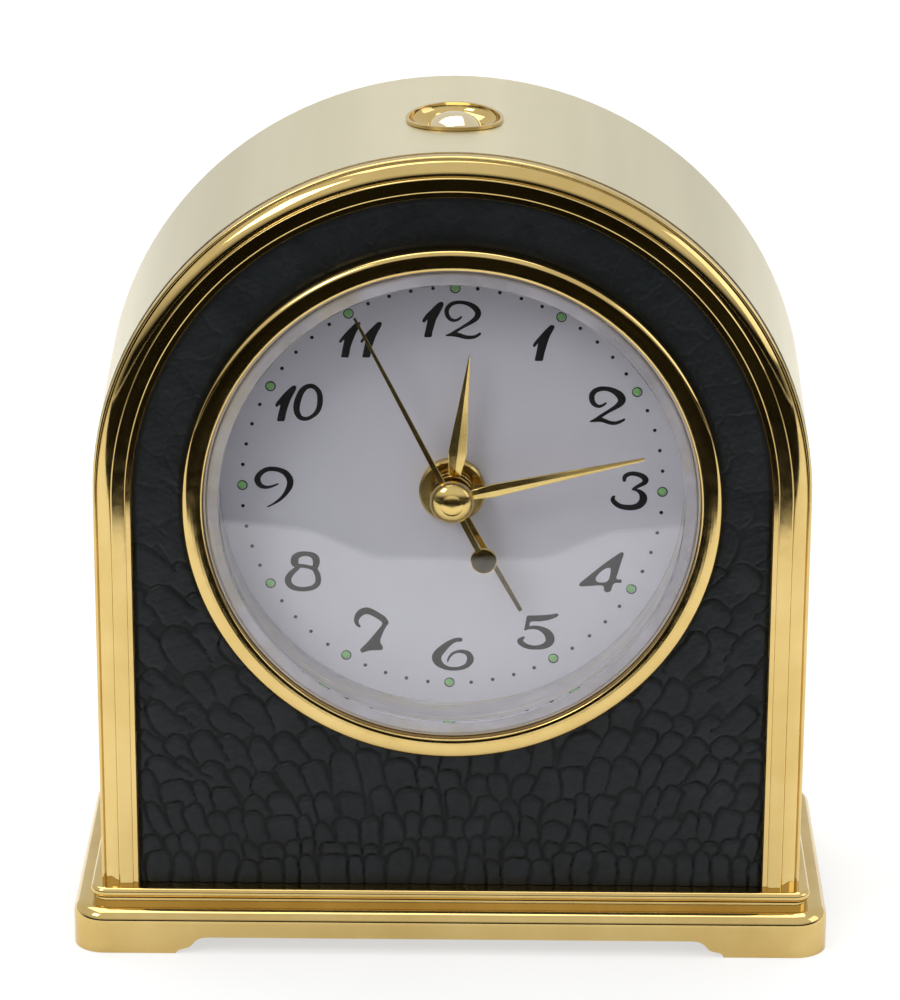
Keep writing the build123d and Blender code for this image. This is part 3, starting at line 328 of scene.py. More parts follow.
M = {
    "polished_gold": gold("gold_plate", GOLD_L, GOLD_D),
    "gold_arch": gold("gold_frame_buffed", GOLD_L, GOLD_D, lines="arch"),
    "gold_ring": gold("gold_bezel_turned", GOLD_L, GOLD_D, lines="ring"),
    "satin_champagne": satin("champagne_satin", (0.720, 0.665, 0.480), (0.620, 0.570, 0.400), (70.0, 5200.0, 70.0), (0.30, 0.44), 5e-6, 0.35),
    "black_croc_leather": leather_look("croc_leather"),
    "clear_plastic": glass_look("clear_styrene"),
    "dial_white": dial_look("dial_paint"),
    "ink": ink_look("dial_ink"),
    "lume": lume_look("lume_paste"),
    "hand_gold": gold("hand_gilt", HAND_L, HAND_D, (0.09, 0.16)),
    "black_plastic": plastic("black_abs", (0.020, 0.020, 0.022), (0.011, 0.011, 0.012), (0.42, 0.58), 1500.0, 1.2e-5),
    "crystal_wall_reflection": wall_reflection_look("styrene_wall_painted_reflection"),
    # Paler gold on the button cap: partly the cap's own gilt colour, partly painted highlight for its broad pale shine.
    "button_gilt": gold("button_gilt_and_painted_highlight", (0.80, 0.70, 0.47), (0.74, 0.62, 0.38)),
    "seat_plastic": plastic("seat_ivory", (0.60, 0.55, 0.50), (0.50, 0.46, 0.42), (0.35, 0.50), 900.0, 6e-6),
    "white_plastic": plastic("white_acetal", (0.74, 0.74, 0.70), (0.66, 0.66, 0.62), (0.30, 0.42), 1200.0, 4e-6),
    "red_plastic": plastic("red_abs", (0.52, 0.030, 0.022), (0.40, 0.018, 0.014), (0.25, 0.38), 1400.0, 4e-6, coat=0.2),
    "steel": metal("plain_steel", (0.56, 0.56, 0.57), (0.42, 0.42, 0.43), (0.22, 0.36)),
    "nickel": metal("nickel_plate", (0.66, 0.64, 0.60), (0.55, 0.53, 0.49), (0.12, 0.24)),
    "brass": metal("turned_brass", (0.72, 0.50, 0.20), (0.58, 0.38, 0.13), (0.20, 0.34), turned=2600.0),
    "zinc": metal("cast_zinc", (0.30, 0.30, 0.31), (0.20, 0.20, 0.21), (0.45, 0.65), 600.0, 2e-5),
    "felt": felt_look("needled_felt"),
    "board_green": plastic("solder_mask", (0.020, 0.110, 0.035), (0.012, 0.075, 0.022), (0.25, 0.38), 900.0, 4e-6, coat=0.3),
    "epoxy_black": plastic("cured_epoxy", (0.012, 0.012, 0.013), (0.007, 0.007, 0.007), (0.12, 0.25), 500.0, 2e-5, coat=0.5),
    "copper": winding_look("enamelled_copper"),
    "ferrite": metal("sintered_ferrite", (0.13, 0.13, 0.14), (0.08, 0.08, 0.09), (0.40, 0.60), 1200.0, 1e-5),
    "cell_jacket": plastic("shrink_jacket", (0.024, 0.028, 0.040), (0.015, 0.018, 0.026), (0.18, 0.30), 700.0, 3e-6, coat=0.4),
}

slot_of = {}
for name, ob in NODES.items():
    for s in ob.material_slots:
        key = s.material.name.split(".")[0] if s.material else "steel"
        slot_of[name] = key
        s.material = M["button_gilt"] if name == "button_cap" else M.get(key, M["steel"])


# -------------------------------------------------------------------- meshes
def make(name, verts, faces, material, body="case", sharp=None, replaces=(), attrs=None):
    me = bpy.data.meshes.new(name)
    me.from_pydata([(x * MM, y * MM, z * MM) for x, y, z in verts], [], [list(f) for f in faces])
    me.update()
    bm = bmesh.new()
    bm.from_mesh(me)
    bmesh.ops.recalc_face_normals(bm, faces=bm.faces)
    bm.to_mesh(me)
    bm.free()
    me.polygons.foreach_set("use_smooth", [True] * len(me.polygons))
    if sharp:
        me.set_sharp_from_angle(angle=math.radians(sharp))
    for k, v in (attrs or {}).items():
        a = me.attributes.new(k, "FLOAT", "POINT")
        a.data.foreach_set("value", np.asarray(v, np.float32))
    ob = bpy.data.objects.new(name, me)
    bpy.context.scene.collection.objects.link(ob)
    me.materials.append(material)
    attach(ob, body)
    if replaces:
        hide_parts(*replaces)
    return ob


def at(x, z, d):
    return (x, D0 + d, ZC + z)


def soften(pts, n=4):
    """Closed outline of (a, b, radius): each corner becomes an arc of that radius."""
    out = []
    count = len(pts)
    for k in range(count):
        p = np.array(pts[k][:2], float)
        r = pts[k][2] if len(pts[k]) > 2 else 0.0
        if r <= 0:
            out.append(tuple(p))
            continue
        u = np.array(pts[k - 1][:2], float) - p
        v = np.array(pts[(k + 1) % count][:2], float) - p
        lu, lv = np.linalg.norm(u), np.linalg.norm(v)
        u, v = u / lu, v / lv
        ang = math.acos(max(-1, min(1, float(u @ v))))
        t = min(r / math.tan(ang / 2), lu * 0.45, lv * 0.45)
        a, b = p + u * t, p + v * t
        for i in range(n + 1):
            s = i / n
            out.append(tuple((1 - s) ** 2 * a + 2 * s * (1 - s) * p + s * s * b))
    return out


def held(profile, near=0.035, least=0.22):
    """Adds points close to both ends of each long side of a closed outline, so that flat faces stay flat when shaded."""
    out = []
    for k, (a, b) in enumerate(profile):
        c, e = profile[(k + 1) % len(profile)]
        out.append((a, b))
        length = math.hypot(c - a, e - b)
        if length > least:
            for s in (near / length, 1 - near / length):
                out.append((a + (c - a) * s, b + (e - b) * s))
    return out


def loft(rings, closed_ring=True, closed_path=True, caps=False):
    """Quads between rings of the same number of points."""
    n = len(rings[0])
    verts = [v for r in rings for v in r]
    faces = []
    rows = len(rings)
    for i in range(rows if closed_path else rows - 1):
        j = (i + 1) % rows
        for k in range(n if closed_ring else n - 1):
            q = (k + 1) % n
            faces.append((i * n + k, i * n + q, j * n + q, j * n + k))
    if caps:
        faces.append(tuple(range(n)))
        faces.append(tuple((rows - 1) * n + k for k in range(n)))
    return verts, faces


def lathe(profile, segs=256, x=0.0, z=0.0):
    """Turns a closed profile of (radius, depth) about an axis parallel to Y. Points at radius 0 become one vertex."""
    profile = held(profile)
    verts, index = [], {}
    rows = []
    for k, (r, d) in enumerate(profile):
        if r < 1e-6:
            index[k] = [len(verts)] * segs
            verts.append(at(x, z, d))
        else:
            index[k] = list(range(len(verts), len(verts) + segs))
            for i in range(segs):
                a = TAU * i / segs
                verts.append(at(x + r * math.sin(a), z + r * math.cos(a), d))
        rows.append(index[k])
    faces = []
    n = len(profile)
    for k in range(n):
        a, b = rows[k], rows[(k + 1) % n]
        if profile[k][0] < 1e-6 and profile[(k + 1) % n][0] < 1e-6:
            continue
        for i in range(segs):
            j = (i + 1) % segs
            f = [a[i], a[j], b[j], b[i]]
            f = [v for q, v in enumerate(f) if v not in f[:q]]
            faces.append(tuple(f))
    return verts, faces


def merge(*parts):
    verts, faces = [], []
    for v, f in parts:
        base = len(verts)
        verts += list(v)
        faces += [tuple(i + base for i in q) for q in f]
    return verts, faces


def arch_sweep(profile, bottom, arc_steps=160, leg_steps=24):
    """Sweeps a closed profile of (radius, depth) along the arch: up one leg, over the half circle and down the other."""
    profile = held(profile)
    stations = []
    leg = bottom - ZC
    for i in range(leg_steps):
        stations.append((-1.0, 0.0, leg * (1 - i / leg_steps)))
    for i in range(arc_steps + 1):
        a = -math.pi / 2 + math.pi * i / arc_steps
        stations.append((math.sin(a), math.cos(a), 0.0))
    for i in range(1, leg_steps + 1):
        stations.append((1.0, 0.0, leg * i / leg_steps))
    rings = [[at(nx * r, cz + nz * r, d) for r, d in profile] for nx, nz, cz in stations]
    return loft(rings, True, False, True)


def arc3(p, q, s, n=10):
    """Points of the circle arc through three points, both ends included."""
    (ax, ay), (bx, by), (cx, cy) = p, q, s
    dd = 2 * (ax * (by - cy) + bx * (cy - ay) + cx * (ay - by))
    ux = ((ax * ax + ay * ay) * (by - cy) + (bx * bx + by * by) * (cy - ay) + (cx * cx + cy * cy) * (ay - by)) / dd
    uy = ((ax * ax + ay * ay) * (cx - bx) + (bx * bx + by * by) * (ax - cx) + (cx * cx + cy * cy) * (bx - ax)) / dd
    a0, a1, a2 = (math.atan2(y - uy, x - ux) for x, y in (p, q, s))
    r = math.hypot(ax - ux, ay - uy)
    turn = (a2 - a0) % TAU
    if (a1 - a0) % TAU > turn:
        turn -= TAU
    return [(ux + r * math.cos(a0 + turn * i / n), uy + r * math.sin(a0 + turn * i / n)) for i in range(n + 1)]


# ------------------------------------------------------------- arched frame
prof = [(33.2, 0.0, 0.10), (34.96, 0.0, 0.07), (35.06, 0.10, 0.05), (35.06, 0.36, 0.04)]
line = soften(prof + [(36.02, 0.7)], 4)[:-1]
line += arc3((35.12, 0.34), (35.98, 0.60), (36.62, 1.16), 16)
line += [(36.655, 1.165), (36.68, 1.09)]
line += arc3((36.72, 1.05), (36.92, 1.12), (37.0, 1.33), 6)
line += [(37.0, 2.38), (36.98, 2.4), (35.85, 2.4), (35.85, 4.2), (34.85, 4.2), (34.85, 0.9), (32.9, 0.9), (32.9, 0.34), (32.93, 0.26), (33.08, 0.10)]
v, f = arch_sweep(line, PLINTH_TOP)
make("frame_moulding", v, f, M["gold_arch"], sharp=50, replaces=["front_frame"])

# --------------------------------------------------------------------- bezel
line = [(26.3, 5.8), (26.3, 0.9), (27.76, 0.9)]
line += arc3((27.76, -0.30), (27.58, -0.76), (27.12, -0.96), 14)
line += [(26.86, -0.972), (26.6, -0.968), (26.3, -0.950), (26.0, -0.922), (25.80, -0.893)]
line += arc3((25.74, -0.880), (25.66, -0.825), (25.62, -0.74), 5)
line += [(25.60, -0.5), (25.60, 5.8)]
v, f = lathe(line, 360)
make("bezel_ring", v, f, M["gold_ring"], sharp=50, replaces=["bezel"])

# ------------------------------------------------------------------- crystal
line = [(0.0, -0.35), (0.0, 0.65), (23.94, 0.65), (23.97, 0.62), (23.97, -0.32), (23.94, -0.35)]
v, f = lathe(line, 360)
make("crystal_window", v, f, M["clear_plastic"], sharp=40, replaces=["crystal"])
line = [(24.0, -0.32), (24.0, 0.65), (24.0, 0.72), (24.03, 1.0), (24.05, 5.80), (24.10, 5.86), (25.18, 5.86), (25.25, 5.80), (25.25, 0.0)]
line += arc3((25.25, -0.02), (25.15, -0.25), (24.92, -0.35), 6)
line += [(24.03, -0.35)]
v, f = lathe(line, 360)
make("crystal_wall", v, f, M["crystal_wall_reflection"], sharp=40)

line = soften([(25.30, 0.05, 0.08), (25.30, 5.80, 0.05), (25.56, 5.80, 0.05), (25.56, 0.05, 0.08)], 4)
v, f = lathe(line, 360)
make("crystal_seat_ring", v, f, M["seat_plastic"], sharp=50)

# ------------------------------------------------------- embossed leather panel
def waves(x, z, seed, size, count=7):
    """Smooth random field from a few sine waves, about -1 to 1."""
    rng = np.random.default_rng(seed)
    out = np.zeros_like(x)
    for _ in range(count):
        a, k, ph = rng.uniform(0, TAU), TAU / (size * rng.uniform(0.7, 1.6)), rng.uniform(0, TAU)
        out += np.sin(k * (x * math.cos(a) + z * math.sin(a)) + ph)
    return out / math.sqrt(count)


def nearest_two(x, z, seeds):
    """First and second smallest stretched distance to the seeds, chunk by chunk."""
    s = np.array(seeds)
    f1, f2 = np.empty_like(x), np.empty_like(x)
    for a in range(0, len(x), 8000):
        dx = x[a:a + 8000, None] - s[None, :, 0]
        dz = z[a:a + 8000, None] - s[None, :, 1]
        c, n = np.cos(s[:, 4]), np.sin(s[:, 4])
        long = (dx * n + dz * c) / (s[:, 3] / 2)
        side = (dx * c - dz * n) / (s[:, 2] / 2)
        dist = np.sqrt(long ** 2 + side ** 2)
        two = np.partition(dist, 1, axis=1)[:, :2]
        f1[a:a + 8000], f2[a:a + 8000] = two.min(1), two.max(1)
    return f1, f2


def scale_rows():
    """Arch-topped scales (x, z, half width, arch height, body length, lean), upper rows first."""
    rng = np.random.default_rng(11)
    low = PLINTH_TOP - ZC
    rows = [(0.1, 2.28, 3.3), (3.1, 2.05, 1.9), (5.2, 2.25, 2.5), (7.9, 2.45, 2.7), (10.8, 2.6, 2.9), (13.9, 2.75, 3.0), (17.1, 2.9, 3.2), (20.5, 3.1, 3.4), (24.1, 3.3, 3.6), (27.9, 3.5, 3.8), (31.9, 3.7, 4.0), (36.1, 3.9, 4.2), (40.5, 4.1, 4.4), (45.1, 4.2, 4.5)]
    out = []
    for k, (foot, w, h) in enumerate(rows):
        x = -36.0 + (w / 2 if k % 2 else 0.0) + rng.uniform(-0.4, 0.4)
        while x < 36.5:
            wide = w * rng.uniform(0.84, 1.18)
            tall = h * rng.uniform(0.86, 1.16)
            z = low + foot + min(1.0, k / 4) * (2.2 * (abs(x) / 34) ** 2 + 0.9 * math.sin(x * 0.23 + k * 0.9)) + rng.normal(0, 0.07 * h * min(1, 0.4 + k / 5))
            lean = 0.95 * x / 35 * min(1.0, 0.04 + k / 5) + rng.normal(0, 0.05 + 0.015 * min(k, 5))
            out.append((k, x + wide / 2, z, wide * 0.49, wide * 0.52, tall, lean))
            x += wide * (1.0 if rng.random() < 0.93 else 1.25)
    return sorted(out, key=lambda s: (-s[0], rng.random()))


def paint_scales(x, z):
    """Height (0 to 1) and painted crease shade (0 to 1) of the overlapping scales: the shade mask darkens the leather
    colour in the creases.
    """
    high, crease_shade = np.full(x.shape, 0.30), np.full(x.shape, 0.55)
    for _, cx0, cz0, half, arch_h, tall, lean in scale_rows():
        c, s = math.cos(lean), math.sin(lean)
        dx, dz = x - cx0, z - cz0
        u, w = dx * c - dz * s, dx * s + dz * c
        top = tall - arch_h
        q = np.sqrt((u / half) ** 2 + (np.maximum(w - top, 0) / arch_h) ** 2)
        q = (np.abs(u / half) ** 2.5 + (np.maximum(w - top, 0) / arch_h) ** 2.5) ** 0.4
        d = (1 - q) * half
        hit = (d > 0) & (w > -1.6)
        rise = np.clip(d / 0.42, 0, 1)
        body = rise * (2 - rise) * (0.80 + 0.20 * np.clip(w / tall, 0, 1)) * (1 - 0.10 * (u / half) ** 2)
        high = np.where(hit, body, high)
        crease_shade = np.where(hit, np.exp(-(d / 0.19) ** 2), crease_shade)
        near = (~hit) & (d > -0.26) & (w > -0.2)
        high = np.where(near, high * np.clip(-d / 0.26, 0, 1) ** 0.8, high)
        crease_shade = np.where(near, np.maximum(crease_shade, 1 + d / 0.26), crease_shade)
    return high, crease_shade


def upper_cells():
    rng = np.random.default_rng(31)
    out = []
    for ring, r in enumerate((27.4, 31.3, 35.2)):
        step = math.degrees(4.5 / r)
        a = -112.0 + (step / 2 if ring == 1 else 0.0)
        while a < 113.0:
            t = math.radians(a)
            out.append((r * math.sin(t) + rng.normal(0, 0.7), r * math.cos(t) + rng.normal(0, 0.7), 3.9, 4.6, t * 0.8 + 0.5))
            a += step * rng.uniform(0.8, 1.25)
    return out


STEP = 0.15
low = PLINTH_TOP + 0.05 - ZC
nx = int(2 * 34.75 / STEP) + 1
nz = int((34.75 - low) / STEP) + 1
gx = -STEP * (nx - 1) / 2 + STEP * np.arange(nx)
gz = low + STEP * np.arange(nz)
cx, cz = np.meshgrid(gx[:-1] + STEP / 2, gz[:-1] + STEP / 2)
reach = np.where(cz > 0, np.hypot(cx, cz), np.abs(cx))
keep = (reach < 34.55) & (np.hypot(cx, cz) > 26.75)
ii, jj = np.nonzero(keep)
corner = np.stack([ii * nx + jj, ii * nx + jj + 1, (ii + 1) * nx + jj + 1, (ii + 1) * nx + jj], 1)
used, quads = np.unique(corner, return_inverse=True)
quads = quads.reshape(corner.shape)
px, pz = gx[used % nx], gz[used // nx]
edges = {}
for q in quads.tolist():
    for k in range(4):
        e = (q[k], q[(k + 1) % 4])
        edges[e] = edges.get(e, 0) + 1
rim = [e for e in edges if (e[1], e[0]) not in edges]
rim_points = np.unique(np.array(rim).ravel())
for i in rim_points:
    if pz[i] < low + STEP * 0.4:
        continue
    r, a = math.hypot(px[i], pz[i]), 0.0
    if r < 30 and r > 0 and pz[i] > low + STEP * 0.4 and abs(r - 26.6) < 0.6:
        px[i] *= 26.6 / r
        pz[i] *= 26.6 / r
    elif pz[i] > 0:
        px[i] *= 34.65 / r
        pz[i] *= 34.65 / r
    else:
        px[i] = math.copysign(34.65, px[i])
wx = px + 0.30 * waves(px, pz, 3, 7.0) + 0.07 * waves(px, pz, 4, 1.5)
wz = pz + 0.30 * waves(px, pz, 5, 7.5) + 0.07 * waves(px, pz, 6, 1.4)
scale_high, scale_crease_shade = paint_scales(wx, wz)
f1, f2 = nearest_two(wx + 0.25 * waves(px, pz, 13, 2.6), wz + 0.25 * waves(px, pz, 14, 2.6), upper_cells())
wall = np.clip((f2 - f1) / 0.16, 0, 1)
cell_high = wall * (2 - wall) * (0.75 + 0.25 * np.clip(1.0 - f1 ** 2, 0, 1))
cell_crease_shade = np.exp(-((f2 - f1) / 0.075) ** 2)
rng = np.random.default_rng(23)
fine = [(rng.uniform(-35, 35), rng.uniform(low, 35), rng.uniform(0.8, 1.6), rng.uniform(0.9, 2.2), rng.uniform(-1.2, 1.2)) for _ in range(3400)]
fine = [s for s in fine if 25.5 < math.hypot(s[0], s[1]) and (math.hypot(s[0], s[1]) if s[1] > 0 else abs(s[0])) < 36]
g1, g2 = nearest_two(wx, wz, fine)
tiny = np.clip((g2 - g1) / 0.35, 0, 1)
up = np.clip((pz + 6.0 + 2.5 * waves(px, pz, 15, 9.0)) / 9.0, 0, 1)       # the pattern turns into shallow cells higher up
up = up * up * (3 - 2 * up)
worn = 0.72 + 0.28 * np.clip(waves(px, pz, 16, 11.0) + 0.9, 0, 1)
ht = (1 - up) * 0.330 * scale_high * worn + up * 0.105 * cell_high * worn + up * 0.05
ht += 0.012 * tiny + 0.011 * waves(px, pz, 8, 0.9) + 0.008 * waves(px, pz, 9, 0.5) + 0.018 * waves(px, pz, 10, 3.2)
reach = np.where(pz > 0, np.hypot(px, pz), np.abs(px))
edge = np.clip((32.86 - reach) / 0.35, 0, 1) * np.clip((np.hypot(px, pz) - 27.74) / 0.45, 0, 1)
top_d = 0.97 - np.clip(ht, -0.02, 0.42) * edge
# Painted shade mask of the creases, stored on the mesh as an attribute that darkens the leather colour.
crease_shade = np.clip((1 - up) * scale_crease_shade + up * 0.7 * cell_crease_shade + 0.12 * (1 - tiny), 0, 1)
n = len(px)
verts = [at(x, z, d) for x, z, d in zip(px, pz, top_d)] + [at(x, z, 1.78) for x, z in zip(px, pz)]
faces = [tuple(q) for q in quads.tolist()] + [tuple(i + n for i in q[::-1]) for q in quads.tolist()]
faces += [(b, a, a + n, b + n) for a, b in rim]
make("croc_leather_panel", verts, faces, M["black_croc_leather"], replaces=["leather_panel"], attrs={"crease_shade": np.concatenate([crease_shade, crease_shade])}, sharp=70)


# --------------------------------------------------------------------- hands
def blade(angle, stations, section):
    """Hand along a clockwise angle: stations are (distance, half width), section gives (side, depth) points."""
    ux, uz = math.sin(math.radians(angle)), math.cos(math.radians(angle))
    rings = []
    for s, h in stations:
        rings.append([at(s * ux + t * uz, s * uz - t * ux, d) for t, d in section(s, h)])
    return loft(rings, True, False, True)


def ridged(front, back, rise, side):
    """Section with a centre ridge: the edges lie lower than the ridge."""
    def section(s, h):
        e = min(rise, rise * h / 0.45)
        return [(-h, back), (-h, front + e + side), (-h * 0.93, front + e), (0.0, front), (h * 0.93, front + e), (h, front + e + side), (h, back)]
    return section


def flat(front, back, bevel):
    def section(s, h):
        k = min(bevel, h * 0.3)
        return [(-h, back), (-h, front + k), (-h + k, front + k * 0.25), (-h + 1.6 * k, front), (h - 1.6 * k, front), (h - k, front + k * 0.25), (h, front + k), (h, back)]
    return section


def slanted(front, back, drop, way):
    """Section whose front face falls away towards one side."""
    def section(s, h):
        high, low = (front, front + drop) if way > 0 else (front + drop, front)
        return [(-h, back), (-h, high + 0.03), (-h * 0.88, high), (h * 0.88, low), (h, low + 0.03), (h, back)]
    return section


def leaning(piece, x, z, deg, slope):
    """Bends a part forward along a clockwise direction from the point (x, z)."""
    verts, faces = piece
    ux, uz = math.sin(math.radians(deg)), math.cos(math.radians(deg))
    return [(vx, vy - slope * ((vx - x) * ux + (vz - ZC - z) * uz), vz) for vx, vy, vz in verts], faces


def hub(r, bore, d0, d1, e=0.06):
    return lathe(soften([(bore, d1), (r, d1, e), (r, d0, e * 1.6), (bore, d0, e)], 3), 96)


def steps(*pts, n=6):
    out = []
    for (a, b), (c, e) in zip(pts[:-1], pts[1:]):
        out += [(a + (c - a) * i / n, b + (e - b) * i / n) for i in range(n)]
    return out + [pts[-1]]


hour_deg, minute_deg, alarm_deg, second_deg = 6.4, 77.1, 151.0, 333.2
v, f = merge(
    blade(hour_deg, steps((1.35, 0.50), (1.9, 0.56), (4.6, 0.93), (4.9, 0.93), (15.3, 0.075), (15.4, 0.04)), ridged(3.46, 3.80, 0.165, 0.03)),
    hub(2.2, 1.2, 3.50, 3.85))
make("hour_hand_gilt", v, f, M["hand_gold"], "hour", 9, ["hour_hand"])
v, f = merge(
    blade(minute_deg, steps((1.1, 0.40), (1.5, 0.44), (4.3, 0.70), (4.6, 0.70), (20.2, 0.130), (20.3, 0.105)), ridged(2.50, 2.84, 0.125, 0.03)),
    hub(1.9, 0.75, 2.55, 2.90))
make("minute_hand_gilt", v, f, M["hand_gold"], "minute", 9, ["minute_hand"])
v, f = merge(
    blade(alarm_deg, steps((1.9, 0.33), (14.6, 0.215), (14.85, 0.20), (14.9, 0.15)), slanted(4.33, 4.60, 0.085, -1)),
    hub(2.3, 1.65, 4.30, 4.60))
make("alarm_hand_gilt", v, f, M["hand_gold"], "alarm", 9, ["alarm_hand"])
tx, tz = 7.3 * -math.sin(math.radians(second_deg)), 7.3 * -math.cos(math.radians(second_deg))
v, f = merge(
    blade(second_deg, steps((-6.3, 0.27), (-0.9, 0.31), (0.9, 0.31), (22.1, 0.13), (22.2, 0.10)), slanted(1.85, 2.05, 0.055, 1)),
    leaning(lathe([(0.0, 1.85), (1.28, 1.85), (1.345, 1.875), (1.37, 1.93), (1.37, 2.05), (0.0, 2.05)], 72, tx, tz), tx, tz, second_deg + 180, 0.10),
    hub(1.2, 0.35, 1.87, 2.10))
make("seconds_hand_gilt", v, f, M["hand_gold"], "seconds", 9, ["seconds_hand"])
dome_line = [(0.0, 1.45), (0.0, 0.50)]
for k in range(1, 19):
    a = math.pi / 2 * k / 18
    dome_line.append((2.3 * math.sin(a) ** 0.92, 0.50 + 1.33 * (1 - math.cos(a)) ** 1.0))
dome_line += [(2.3, 1.84), (0.36, 1.84), (0.36, 1.45)]
v, f = lathe(dome_line, 128)
make("centre_cap_gilt", v, f, M["hand_gold"], "seconds", 60, ["seconds_cap"])

